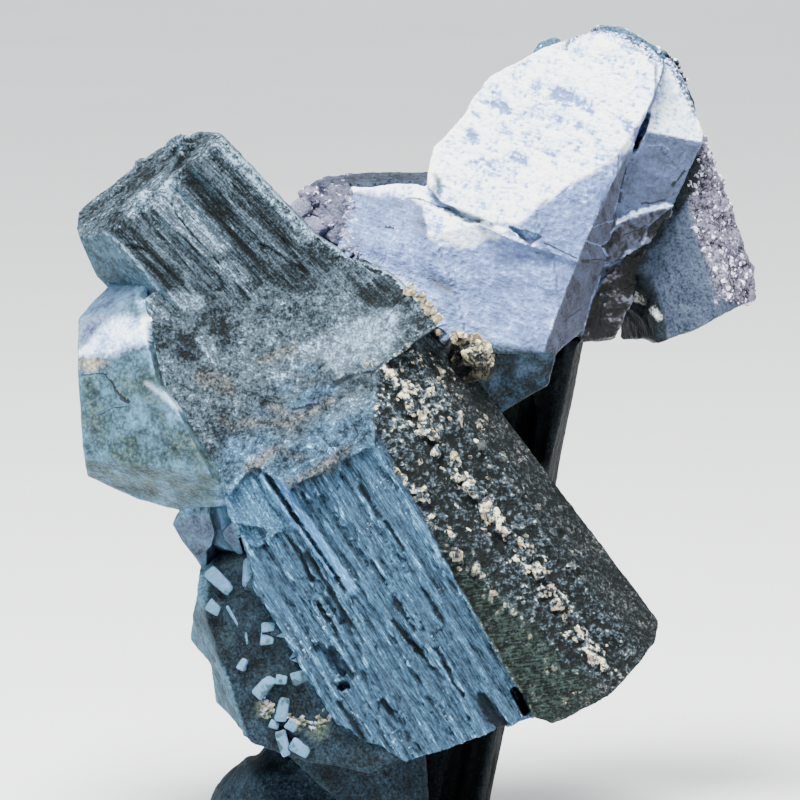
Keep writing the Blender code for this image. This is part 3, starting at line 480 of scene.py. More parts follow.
# Where dark grains overgrow the top of the crown, as (across, up)
OVERGROWN = [
    (16.5, 80.2), (17.5, 81.2), (18.5, 81.7), (20.2, 81.8), (22.1, 81.1), (23.3, 80.3),
    (24.6, 79.5), (25.0, 78.6), (27.0, 78.6), (27.6, 77.4), (29.6, 73.2),
]

# The crown's lower left edge, and the middle of its pinkish spot
CROWN_SOLE, PINK_SPOT = ((-6.0, 59.6), (10.0, 50.0)), (-2.2, 61.6)


def crown_zones(places, normals):
    """The parts of the crown's skin, each from 0 to 1."""
    across, up, facing = places[:, 0], places[:, 1], normals[:, 2]
    wobble = 0.5 * rough(places, 1.6, 31) + 0.25 * rough(places, 0.5, 32)
    # upper: facets that face upward; the finish paints them a darker shade than the front facets,
    # to offset the stronger key light on them
    upper = ramp(normals[:, 1], 0.1, 0.3)
    from_left = across - bound_at(SIDE_LEFT, up) + 0.12 * wobble
    from_right = across - bound_at(SIDE_RIGHT, up) + 0.25 * wobble
    # The wing's lower facets, the steep side and the ledge are painted dark as shade by the finish
    wing = ramp(from_right, -0.1, 0.15) * ramp(from_left, 0.2, 0.6)
    # lit: painted light, bright above LIT_EDGE and more so on facets that face upward
    lit = ramp(up - bound_at(LIT_EDGE, across) + 1.3 * wobble, -0.3, 0.4)
    ledge = ramp(bound_at(LEDGE_HEAD, across) - up + 0.2 * wobble, -0.08, 0.08) * wing
    hollow = ramp(bound_at(LEDGE_SOLE, across) - up + 0.3 * wobble, -0.1, 0.2) * wing
    # keel: the crown's lower end, painted dark as shade over a greenish stain
    keel = ramp(up + 0.8 * wobble + 0.12 * (across - 12), 50.8, 49.8) * (1 - hollow)
    grown = ramp(up - bound_at(OVERGROWN, across) + 0.5 * wobble, -0.2, 0.2)
    return {
        "upper": upper,
        "lit": lit * (ramp(from_left, 0.1, -0.1) * (0.6 + 0.4 * upper)),
        "side": ramp(from_left, -0.08, 0.12) * (1 - wing) * ramp(up, 70.5, 69.0),
        "wing": wing * (1 - ledge),
        "ledge": ledge * (1 - hollow),
        "hollow": hollow,
        "keel": keel,
        "base": ramp(left_of(places, *CROWN_SOLE) + wobble, 3.0, 0.6) * (1 - keel),
        "pink": ramp(near_spot(places, *PINK_SPOT) + 1.4 * wobble, 5.6, 2.6),
        "grown": grown * ramp(across, 16.0, 17.0),
        "wedge": drawn(places, WEDGES, 0.1 * wobble, 0.15),
        "glass": drawn(places, GLASSY, 0.2 * wobble, 0.15),
        "dent": drawn(places, DENTS, 0.8 * wobble, 0.7),
        "back": ramp(facing, -0.05, -0.4),
    }


def crown_relief(places, zones):
    """How far the crown's skin stands out or in."""
    local, steep = CROWN.local(places), CROWN_SIDE.local(places)
    relief = 0.10 * terraced(grain(local, (4.0, 1.5, 3), 33), 0.5) + 0.10 * rough(places, 1.4, 34)
    ledges = 0.08 * terraced(rough(local, (1.6, 0.7, 1), 35, 2), 0.4)
    relief += ledges + 0.05 * grain(places, 0.35, 30)
    splits = 0.10 * grooves(steep, (9, 5, 6), 36, 0.03) * (1 - zones["lit"])
    relief -= splits + 0.15 * zones["dent"]
    broken = 0.45 * terraced(rough(steep, (5, 2.0, 3), 37, 2), 0.35) + 0.15 * rough(places, 0.8, 38)
    scalloped = 0.5 * terraced(rough(places, (3.0, 1.2, 1.6), 29, 2), 0.22)
    scalloped += 0.1 * rough(places, 0.6, 28)
    smooth = 0.10 * rough(places, 2.2, 39)
    forms = [("ledge", broken), ("side", 0.3 * broken), ("hollow", scalloped), ("keel", smooth)]
    return merged(relief, zones, forms)


# Cracks, olive stains and the ridge of the left apatite
SEA_CRACKS = lines_of(
    [(-31.7, 47.5), 0.02, (-30.2, 47.7), 0.04, (-29.4, 47.5), 0.05, (-28.7, 46.8), 0.07,
     (-28.2, 45.9), 0.1, (-27.5, 45.2)], [(-27.6, 45.2), 0.16, (-27.0, 44.8)],
    [(-27.2, 44.3), 0.01, (-28.4, 44.2), 0.01, (-30.0, 43.4)],
)
SEA_STAINS = lines_of(
    [(-31.2, 47.0), 0.4, (-30.6, 45.8)], [(-30.4, 44.2), 0.6, (-29.8, 41.4)],
    [(-28.2, 39.4), 0.6, (-26.2, 38.4)], [(-25.2, 36.8), 0.5, (-24.4, 36.0)],
    [(-21.0, 40.6), 0.5, (-19.8, 38.8)], [(-20.4, 35.4), 0.5, (-17.8, 34.8)],
    [(-30.8, 38.6), 0.2, (-28.0, 37.2)], [(-23.6, 43.6), 0.3, (-22.6, 41.0)],
)
SEA_RIDGE = lines_of([(-25.2, 46.7), 0.0, (-23.5, 45.5), 0.1, (-22.0, 44.0)])
# Its bounds: under the face painted white as lit, over the lower end with stains, beside the top,
# and an earthy streak
SEA_LIT, SEA_LOWER = ((-32.0, 49.2), (-25.0, 50.4)), ((-31.0, 39.5), (-20.0, 36.4))
SEA_TOP, SEA_EARTH = ((-31.6, 50.2), (-26.0, 55.4)), ((-31.2, 48.5), (-29.6, 48.8))


def sea_zones(places, normals):
    """The parts of the skins of the left apatite and its buds, each from 0 to 1."""
    up, facing = places[:, 1], normals[:, 2]
    wobble = 0.7 * rough(places, 1.8, 41) + 0.4 * rough(places, 0.6, 42)
    back = ramp(facing, -0.05, -0.4)
    lit = ramp(left_of(places, *SEA_LIT) + 0.6 * wobble, -0.4, 0.5)
    stain = ramp(rough(places, 2.6, 43) + 0.6 * rough(places, 0.8, 44), 0.02, 0.35)
    stain = np.maximum(stain, drawn(places, SEA_STAINS, 0.7 * wobble, 0.8)) * ramp(up, 49.0, 47.0)
    stain *= ramp(up, 34.6, 35.4)
    lower = ramp(left_of(places, *SEA_LOWER) + wobble, 3.4, 1.4)
    violet = ramp(left_of(places, *SEA_TOP) + 0.6 * wobble, -0.3, 0.5)
    # lit: painted light on the face that turns toward the key light
    return {
        "lit": lit * (ramp(up + wobble, 54.0, 52.6) * ramp(facing, 0.3, 0.6)),
        "stain": np.maximum(stain, 0.5 * lower * ramp(wobble, -0.2, 0.3)),
        "tan": ramp(near_line(places, *SEA_EARTH) + 0.9 * wobble, 1.1, 0.1) * (1 - back),
        "ridge": drawn(places, SEA_RIDGE, 0.25 * wobble, 0.35) * (1 - back),
        "bud": ramp(up - 0.3 * places[:, 0], 40.2, 39.2),
        "violet": violet * ramp(up, 48.6, 50.0),
        "back": back,
    }


def sea_relief(places, zones):
    """How far the skins of the left apatite and its buds stand out or in."""
    return 0.13 * rough(places, 2.6, 45) + 0.05 * rough(places, 0.7, 46, 2) + 0.12 * zones["ridge"]


# The left bound of the crust on the right crystal, as (up, across)
CRUST_LINE = [(55.4, 31.6), (65.3, 28.6), (70.0, 30.0), (79.0, 26.5)]
# The right bound of its flank, which is painted dark as shade, as (up, across)
FLANK_LINE = [(52.1, 27.0), (58.1, 25.2), (60.0, 25.5), (64.5, 28.6), (67.0, 30.2)]

# Two pale blobs low on it
PALE_BLOBS = lines_of([(24.4, 55.5), 0.18, (24.6, 54.9)], [(25.5, 54.1), 0.3, (26.1, 53.3)])


def right_zones(places, normals):
    """The parts of the right crystal's skin, each from 0 to 1."""
    across, up = places[:, 0], places[:, 1]
    wobble = 0.8 * rough(places, 1.8, 51) + 0.4 * rough(places, 0.6, 52)
    crust = ramp(across - bound_at(CRUST_LINE, up) + 0.6 * wobble, -0.2, 0.5)
    crust *= ramp(up + wobble, 54.2, 55.2)
    top = ramp(up + wobble, 75.0, 77.0) * (1 - crust)
    flank = ramp(bound_at(FLANK_LINE, up) - across + 0.2 * wobble, -0.1, 0.3)
    blob = drawn(places, PALE_BLOBS, 0.15 * wobble, 0.15)
    return {"crust": crust, "flank": flank * (1 - top), "rim": top, "blob": blob}


def right_relief(places, zones):
    """How far the right crystal's skin stands out or in."""
    relief = 0.12 * rough(places, 1.3, 53) + 0.06 * grain(places, 0.4, 54)
    relief += 0.25 * zones["flank"] * rough(places, 1.6, 50)
    relief += 0.06 * grain(RIGHT.local(places), (6, 0.6, 2), 55)
    crusted = 0.45 * np.abs(rough(places, 1.5, 56, 2)) + 0.1 * grain(places, 0.4, 57)
    shared = np.maximum(zones["crust"], 0.6 * zones["rim"])
    return relief * (1 - shared) + crusted * shared


BACK_CRUST = ((-6.6, 60.5), (-5.0, 67.5))  # left of this line the back crystal is crusted


def back_zones(places, normals):
    """The parts of the back crystal's skin, each from 0 to 1."""
    wobble = 0.7 * rough(places, 1.5, 61)
    return {
        "crust": ramp(left_of(places, *BACK_CRUST) + wobble, -0.4, 0.4),
        "rim": ramp(places[:, 1] + 0.5 * wobble, 65.9, 66.7),
    }


def back_relief(places, zones):
    """How far the back crystal's skin stands out or in."""
    plain = 0.10 * rough(places, 1.2, 62) + 0.05 * grain(places, 0.4, 63)
    crusted = 0.30 * np.abs(rough(places, 1.1, 64, 2))
    return merged(plain, zones, [("crust", crusted)])


def no_zones(places, normals):
    """The rear prism looks the same all over."""
    return {}


def rear_relief(places, zones):
    """Ribs along the rear prism."""
    local = REAR.local(places)
    relief = 0.30 * terraced(grain(local, (26, 1.1, 2), 71), 0.45)
    return relief + 0.08 * grain(local, (9, 0.4, 1), 72) + 0.04 * rough(places, 0.8, 73, 2)


# Bounds on the foot: over its stub, beside its upper facet, and the pale line down its lower facet
STUB_EDGE, FACET_EDGE = ((-12.0, 10.2), (-8.0, 8.6)), ((-19.6, 27.0), (-20.6, 20.4))
FACET_LINE = ((-17.6, 18.3), (-15.4, 11.7))
# Mossy spots as (across, up, radius, how uneven, bare from here)
MOSSY_SPOTS = [
    (-13.5, 14.4, 0.5, 0.7, 1.3), (-8.1, 12.0, 0.6, 0.7, 1.6), (-10.2, 12.6, 0.4, 0.6, 1.0),
]


def foot_zones(places, normals):
    """The parts of the foot's skin, each from 0 to 1."""
    wobble = 0.8 * rough(places, 1.8, 81) + 0.5 * rough(places, 0.6, 82)
    stub = ramp(left_of(places, *STUB_EDGE) + 0.5 * wobble, -0.2, -1.0)
    stub *= ramp(places[:, 0] + wobble, -11.5, -9.5)
    facet = ramp(left_of(places, *FACET_EDGE), 0.9, 0.2)
    facet = np.maximum(facet, ramp(left_of(places, *FACET_LINE), 0.1, -0.4))
    line = ramp(near_line(places, *FACET_LINE) + 0.05 * wobble, 0.22, 0.08)
    spots = np.maximum.reduce(
        [
            ramp(near_spot(places, across, up) + uneven * wobble, bare, radius)
            for across, up, radius, uneven, bare in MOSSY_SPOTS
        ]
    )
    return {
        "facet": facet * (1 - stub),
        "line": line * (1 - stub),
        "moss": ramp(rough(places, 2.2, 83) + 0.4 * rough(places, 0.6, 84), 0.05, 0.4),
        "spots": spots * ramp(normals[:, 2], -0.2, 0.1) * (1 - stub),
    }


def foot_relief(places, zones):
    """How far the foot's skin stands out or in."""
    relief = 0.16 * rough(places, 1.8, 85) + 0.09 * rough(places, 0.6, 86, 2)
    return relief + 0.15 * zones["line"] + 0.2 * zones["spots"]


def knob_zones(places, normals):
    """Moss on the knob, from 0 to 1."""
    return {"moss": ramp(rough(places, 2.4, 91), 0.0, 0.4)}


def knob_relief(places, zones):
    """Lumps of the knob."""
    return 0.35 * rough(places, 3.2, 92) + 0.12 * rough(places, 0.9, 93, 2)


def crumb_zones(places, normals):
    """Pits, and the lower part of the crumb that is painted dark as shade, from 0 to 1."""
    slope = places[:, 1] + 0.25 * (places[:, 0] - 7)
    return {
        "pit": ramp(rough(places, 1.1, 95), 0.0, -0.4),
        "shaded": ramp(slope + 0.5 * rough(places, 1.2, 94), 49.6, 48.4),
    }


def crumb_relief(places, zones):
    """Folds of the crumb."""
    folded = 0.9 * terraced(rough(places, (2.6, 1.0, 1.6), 96, 2), 0.3)
    return folded + 0.30 * rough(places, 0.7, 97, 2) - 0.5 * zones["pit"] - 0.3


# ---- making pieces -------------------------------------------------------------------------------


def shown(name, mesh, material, slot, *nodes):
    """A finished mesh as a piece of the group, standing for the nodes given, whose solids are
    hidden; slot is not used.
    """
    obj = bpy.data.objects.new(name, mesh)
    bpy.context.scene.collection.objects.link(obj)
    mesh.materials.clear()
    mesh.materials.append(material)
    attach(obj, "root")
    if nodes:
        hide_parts(*nodes)
    return obj


def with_modifier(mesh, kind, **settings):
    """The mesh as one modifier leaves it."""
    carrier = bpy.data.objects.new("carrier", mesh)
    bpy.context.scene.collection.objects.link(carrier)
    modifier = carrier.modifiers.new(kind, kind)
    for key, value in settings.items():
        setattr(modifier, key, value)
    graph = bpy.context.evaluated_depsgraph_get()
    result = bpy.data.meshes.new_from_object(carrier.evaluated_get(graph))
    bpy.data.objects.remove(carrier)
    return result


def vertex_rows(source, key):
    """Three numbers of every vertex, as rows."""
    flat = np.zeros(len(source) * 3)
    source.foreach_get(key, flat)
    return flat.reshape(-1, 3)


def skin_of(mesh):
    """The places and normals of a mesh's vertices, as upright rows."""
    places = upright_places(vertex_rows(mesh.vertices, "co"))
    return places, vertex_rows(mesh.vertex_normals, "vector") @ TO_UPRIGHT.T


def search_tree(mesh):
    """A skin that can be searched, in upright millimetres."""
    places = upright_places(vertex_rows(mesh.vertices, "co"))
    faces = [tuple(face.vertices) for face in mesh.polygons]
    return BVHTree.FromPolygons([Vector(place) for place in places], faces)


def rooted(places, normals, neighbours):
    """Draws the skin out to the neighbours that it grows against, so that no gap is left."""
    grown = places.copy()
    for tree in (search_tree(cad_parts[node].data) for node in neighbours):
        for number, place in enumerate(places):
            nearest, _, _, distance = tree.find_nearest(Vector(place), ROOT_REACH)
            if nearest and distance > TOUCHING:
                run = np.array(nearest) - place
                facing = ramp(run @ normals[number] / distance, 0.1, 0.6)
                share = facing * ramp(distance, ROOT_REACH, ROOT_FULL)
                grown[number] = place + run * share * (1 + ROOT_DEPTH / distance)
    return grown


def curvature(mesh, places, normals, grid):
    """1 on sharp crests, -1 in sharp furrows and 0 where the skin is even; grid in millimetres."""
    edges = np.zeros(len(mesh.edges) * 2, int)
    mesh.edges.foreach_get("vertices", edges)
    first, second = edges.reshape(-1, 2).T
    count = np.bincount(edges, minlength=len(places))[:, None]
    bend = np.zeros_like(places)
    np.add.at(bend, first, places[second])
    np.add.at(bend, second, places[first])
    height = ((places - bend / count) * normals).sum(axis=1) / grid
    even = np.zeros_like(height)
    np.add.at(even, first, height[second])
    np.add.at(even, second, height[first])
    return np.clip((height + even / count[:, 0]) * CREST_GAIN, -1, 1)


def weathered(node, grid, zones_of, relief_of, most_triangles, neighbours=()):
    """A close-meshed copy of a solid that carries the relief of its zones; grid in millimetres."""
    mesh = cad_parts[node].data.copy()
    bm = bmesh.new()
    bm.from_mesh(mesh)
    bmesh.ops.remove_doubles(bm, verts=bm.verts, dist=SAME_PLACE)
    bm.to_mesh(mesh)
    bm.free()
    mesh = with_modifier(mesh, "REMESH", mode="VOXEL", voxel_size=grid * MM)
    places, normals = skin_of(mesh)
    zones = zones_of(places, normals)
    relief = relief_of(places, zones)
    places = rooted(places + normals * relief[:, None], normals, neighbours)
    mesh.vertices.foreach_set("co", row_places(places).ravel())
    mesh.update()
    crest = curvature(mesh, places, skin_of(mesh)[1], grid)
    for name, values in {**zones, "height": relief, "crest": crest}.items():
        layer = mesh.attributes.new(name, "FLOAT", "POINT")
        layer.data.foreach_set("value", values.astype(np.float32))
    triangles = 2 * len(mesh.polygons)
    if triangles > most_triangles:
        mesh = with_modifier(mesh, "DECIMATE", ratio=most_triangles / triangles)
    mesh.polygons.foreach_set("use_smooth", [True] * len(mesh.polygons))
    mesh.set_sharp_from_angle(angle=math.radians(SHARP_ANGLE_DEG))
    return mesh


def dressed(context, node, piece, grid, makers, finish, slot, neighbours=()):
    """Shows a solid's weathered copy in its place; makers are its zones and its relief."""
    sizes = context.scene.specimen_sizes
    spacing = getattr(sizes, grid) / MM
    mesh = weathered(node, spacing, *makers, sizes.most_triangles, neighbours)
    shown(piece, mesh, finish, slot, node)


# ---- materials -----------------------------------------------------------------------------------


class Value:
    """A number that changes over a surface; arithmetic on it adds the nodes that work it out."""

    def __init__(self, finish, socket):
        self.finish, self.socket = finish, socket

    def _math(self, operation, *operands):
        settings = {"operation": operation}
        node = self.finish.node("ShaderNodeMath", settings, dict(enumerate(operands)))
        return Value(self.finish, node.outputs[0])

    def __add__(self, other):
        return self._math("ADD", self, other)

    def __sub__(self, other):
        return self._math("SUBTRACT", self, other)

    def __mul__(self, other):
        return self._math("MULTIPLY", self, other)

    def __rsub__(self, other):
        return self._math("SUBTRACT", other, self)

    __radd__, __rmul__ = __add__, __mul__

    def size(self):
        return self._math("ABSOLUTE", self)

    def most(self, other):
        return self._math("MAXIMUM", self, other)

    def least(self, other):
        return self._math("MINIMUM", self, other)

    def rise(self, low, high):
        """0 at low, 1 at high, and smooth between."""
        settings = {"interpolation_type": "SMOOTHSTEP"}
        sockets = {"Value": self, "From Min": low, "From Max": high}
        node = self.finish.node("ShaderNodeMapRange", settings, sockets)
        return Value(self.finish, node.outputs[0])


class Finish:
    """One material, built node by node round a Principled shader and coloured with named tones."""

    def __init__(self, name, tones=None, **constants):
        self.tones = tones
        self.material = bpy.data.materials.new(name)
        self.material.use_nodes = True
        self.tree = self.material.node_tree
        self.shader = self.tree.nodes["Principled BSDF"]
        for socket, value in constants.items():
            self.shader.inputs[socket.replace("_", " ")].default_value = value
        self.places = self.node("ShaderNodeTexCoord", {}, {}).outputs["Object"]

    def node(self, kind, settings, sockets):
        """Adds a node: first its settings, a ramp's stops among them, then its sockets."""
        node = self.tree.nodes.new(kind)
        for key, value in settings.items():
            if key == "stops":
                elements = node.color_ramp.elements
                elements[0].position, elements[-1].position = value[0][0], value[-1][0]
                for position, _ in value[1:-1]:
                    elements.new(position)
                for element, (_, colour) in zip(elements, value):
                    element.color = (*colour, 1)
            else:
                setattr(node, key, value)
        for key, value in sockets.items():
            self.feed(node.inputs[key], value)
        return node

    def feed(self, socket, value):
        """Links a socket to a value of this material, or sets it."""
        source = value.socket if isinstance(value, Value) else value
        if isinstance(source, bpy.types.NodeSocket):
            self.tree.links.new(source, socket)
        elif socket.type == "RGBA" and len(source) == 3:
            socket.default_value = (*source, 1)
        else:
            socket.default_value = source

    def zone(self, name):
        """The strength of a zone that the piece's mesh carries."""
        node = self.node("ShaderNodeAttribute", {"attribute_name": name}, {})
        return Value(self, node.outputs["Fac"])

    def form(self, height, crest):
        """The modelled relief: shares of its height and of its crests and furrows. Added into a
        colour, it makes crests lighter and furrows and low places darker: edge wear and dirt with
        painted highlight and painted shade.
        """
        return self.zone("height") * height + self.zone("crest") * crest

    def cells(self, size, growth=None, origin=(0, 0, 0)):
        """Places counted in cells of a size in millimetres, along a prism if growth is given."""
        sizes = size if isinstance(size, tuple) else (size,) * 3
        scale = [part * MM for part in sizes]
        sockets = {"Vector": self.places, "Scale": scale, "Location": origin}
        if growth:
            sockets["Rotation"] = growth.turn()
        return self.node("ShaderNodeMapping", {"vector_type": "TEXTURE"}, sockets).outputs[0]

    def noise(self, size, growth=None, detail=3.0, roughness=0.55):
        """Cloudy grain from about -1 to 1, in lumps of the given size in millimetres."""
        sockets = {"Vector": self.cells(size, growth), "Scale": 1.0}
        sockets.update({"Detail": detail, "Roughness": roughness})
        node = self.node("ShaderNodeTexNoise", {}, sockets)
        return Value(self, node.outputs["Fac"]) * 4.0 - 2.0

    def chips(self, size, growth=None):
        """A value from about -1 to 1 for each angular chip of the given size in millimetres."""
        sockets = {"Vector": self.cells(size, growth), "Scale": 1.0}
        node = self.node("ShaderNodeTexVoronoi", {}, sockets)
        return Value(self, node.outputs["Color"]) * 3.0 - 1.5

    def strokes(self, lines, waver=0.0):
        """1 along thin lines of (start, end, half width) on the show side, and 0 away from them."""
        total = None
        for start, end, half in lines:
            run, middle = Vector(end) - Vector(start), (Vector(start) + Vector(end)) / 2
            axis = Growth(*middle, -math.degrees(math.atan2(run.y, run.x)))
            cells = self.cells(1.0, axis, at(*middle, 0))
            parts = self.node("ShaderNodeSeparateXYZ", {}, {0: cells})
            along, side = (Value(self, parts.outputs[key]) for key in ("X", "Y"))
            outside = (along.size() - run.length / 2).most((side + waver).size())
            stroke = outside.rise(half + STROKE_SOFT, half)
            total = stroke if total is None else stroke.most(total)
        return total * (1.0 - self.zone("back"))

    def ramped(self, value, stops):
        """The colour that goes with a value from -1 to 1, between stops of (value, colour)."""
        settings = {"stops": [(place * 0.5 + 0.5, colour) for place, colour in stops]}
        node = self.node("ShaderNodeValToRGB", settings, {"Fac": value * 0.5 + 0.5})
        return node.outputs["Color"]

    def stepped(self, value, **stops):
        """The same between tones, each with the value that it stands at, from low to high."""
        pairs = [(stop, getattr(self.tones, tone)) for tone, stop in stops.items()]
        return self.ramped(value, pairs)

    def blend(self, factor, first, second):
        """first where factor is 0, second where it is 1."""
        node = self.node("ShaderNodeMix", {"data_type": "RGBA"}, {0: factor, 6: first, 7: second})
        return node.outputs[2]

    def layered(self, colour, *layers):
        """Layers of (zone or value, share, colour) laid over the first colour in turn."""
        for zone, share, over in layers:
            factor = self.zone(zone) if isinstance(zone, str) else zone
            colour = self.blend(factor * share, colour, over)
        return colour

    def done(self, colour, roughness, height, depth, strength=1.0):
        """Joins everything to the shader; depth is the bump's depth in millimetres."""
        self.feed(self.shader.inputs["Base Color"], colour)
        self.feed(self.shader.inputs["Roughness"], roughness)
        sockets = {"Height": height, "Distance": depth * MM, "Strength": strength}
        bump = self.node("ShaderNodeBump", {}, sockets)
        self.tree.links.new(bump.outputs["Normal"], self.shader.inputs["Normal"])
        return self.material


def linear(red, green, blue):
    """A colour written as 0 to 255 on a screen, as the shader takes it."""
    return tuple(((part / 255 + 0.055) / 1.055) ** 2.4 for part in (red, green, blue))


def trunk_finish(tones):
    """Dark hornblende: striated above, worn in the saddle, flecked, and where cleaved painted silky
    blue as sheen reflecting the lamps.
    """
    finish = Finish("hornblende_trunk", tones, IOR=1.66, Specular_IOR_Level=0.05)
    form = finish.form(0.7, 0.4)
    grit = finish.noise(0.24, detail=2.0, roughness=0.65) * 0.75 + finish.chips(0.19) * 0.35
    crumbs = finish.noise(0.6, roughness=0.65)
    patches = finish.noise(2.6, roughness=0.6)
    smears = finish.zone("light") * 0.4 - finish.zone("dark") * 0.45
    earth = grit * 0.55 + crumbs * 0.5 + patches * 0.3 + form + smears
    saddle = finish.stepped(earth, night=-0.75, deep=-0.35, slate=-0.05, mist=0.35, frost=0.95)
    worn = finish.stepped(earth, night=-0.75, deep=-0.3, slate=0.1, mist=0.55, frost=0.98)
    capped = finish.stepped(earth, night=-0.45, deep=-0.15, slate=0.12, mist=0.4, frost=0.9)
    tan = finish.stepped(earth, night=-0.8, umber=-0.3, taupe=0.1, sand=0.8)
    bluish = finish.stepped(earth, night=-0.8, ink=-0.4, teal=0.05, sky=0.5, silk=0.98)
    dusted = grit * 0.5 + crumbs * 0.5 + patches * 0.2 + form
    silver = finish.stepped(dusted, slate=-0.8, mist=-0.1, frost=0.8)
    plain = crumbs * 0.6 + grit * 0.4 + patches * 0.4
    flank = finish.stepped(plain, deep=-0.7, reef=-0.2, haze=0.7, veil=1.0)

    striae = finish.noise((2.2, 0.17, 0.5), UPPER, 3.0, 0.7)
    bands = finish.noise((10.0, 0.8, 3.0), UPPER, 3.0, 0.6)
    lined = bands * 0.45 + striae * 0.5 + grit * 0.5 + form + smears
    striated = finish.stepped(lined, night=-0.75, deep=-0.3, slate=0.0, mist=0.4, frost=0.95)

    # The blue of the cleavage face, of its smooth plate and of its ridge, with its silky lights, is
    # painted sheen: the lamps' reflection on dark hornblende
    silk = finish.noise((2.0, 0.22, 0.6), CLEAVED, 3.0, 0.65)
    threads = finish.noise((0.9, 0.15, 0.3), CLEAVED, 2.0, 0.6)
    sheets = finish.noise((7.0, 1.8, 3.0), CLEAVED, 2.0, 0.5)
    weave = silk * 0.45 + threads * 0.4 + sheets * 0.15 + grit * 0.2 + form
    blue = finish.stepped(weave, night=-0.95, ink=-0.6, teal=-0.1, sky=0.4, silk=0.98)
    weave = weave * 0.6 + grit * 0.3
    plate = finish.stepped(weave, night=-0.9, ink=-0.5, teal=-0.2, sky=0.25, silk=0.98)
    glazed = finish.stepped(threads + sheets * 0.3, sky=-0.9, ridge=0.0, silk=0.9)
    # sparks: painted glints, gathered in the silky spots and scattered
    scattered = finish.noise(2.2, detail=1.0).rise(0.5, 1.0) * 0.7
    sparks = finish.noise(0.36, detail=1.0).rise(0.5, 1.0) * finish.zone("silky").most(scattered)
    blue = finish.layered(blue, ("plate", 1, plate), (sparks, 1, tones.frost))

    chips = finish.chips((0.55, 0.32, 0.4), FIBRES)
    mottle = chips * 0.35 + grit * 0.55 + crumbs * 0.3 + patches * 0.1 + form
    mottle = mottle + finish.zone("fleck") * 0.4 + finish.zone("rows") * 0.18
    brown = finish.stepped(mottle, night=-0.25, bark=0.12, slate=0.42, mist=0.74, cream=1.0)
    weeds = finish.noise((1.4, 0.18, 0.5), FIBRES, 3.0, 0.6) * 0.65 + grit * 0.45 + form
    olive = finish.stepped(weeds, night=-0.2, moss=0.25, olive=0.55, lichen=0.85, sand=1.0)
    powder = chips * 0.25 + grit * 0.6 + patches * 0.3
    dusty = finish.stepped(powder, night=-0.5, bark=0.1, ash=0.5, sand=0.98)

    waver = crumbs * 0.12 + grit * 0.1
    lights = finish.strokes(EDGE_LIGHTS, waver * 1.6) * (0.5 + crumbs * 0.5).least(1.0).most(0.0)
    # The bluish band and the sheen patches are painted with the cleavage face's blue sheen
    bluish_sheen = (finish.zone("bluish") * 0.85).most(finish.zone("sheen") * 0.95)
    colour = finish.layered(
        worn,
        ("upper", 1, saddle),
        ("striated", 1, striated),
        ("cap", 1, capped),
        ("green", 1, striated),
        ("flank", 0.85, flank),
        ("silver", 0.85, silver),
        (bluish_sheen, 1, bluish),
        ("blue", 1, blue),
        ("brown", 1, brown),
        ("olive", 0.9, olive),
        ("dust", 0.8, dusty),
        ("tan", 0.75, tan),
        # painted highlights on the edges
        (lights, 0.9, tones.frost),
        # painted shadow under the saddle's steps
        (finish.strokes(SADDLE_STEPS, waver), 0.8, tones.night),
        ("crust", 0.8, capped),
        ("ridge", 1, glazed),
        ("seam", 0.85, tones.night),
    )
    glint = finish.noise(0.5, detail=1.0).rise(0.1, 0.9)
    roughness = 0.6 - glint * 0.3 * finish.zone("blue").most(0.2)
    bump = grit * 0.5 + silk * finish.zone("blue") + striae * finish.zone("striated") + crumbs * 0.3
    return finish.done(colour, roughness, bump, 0.10)


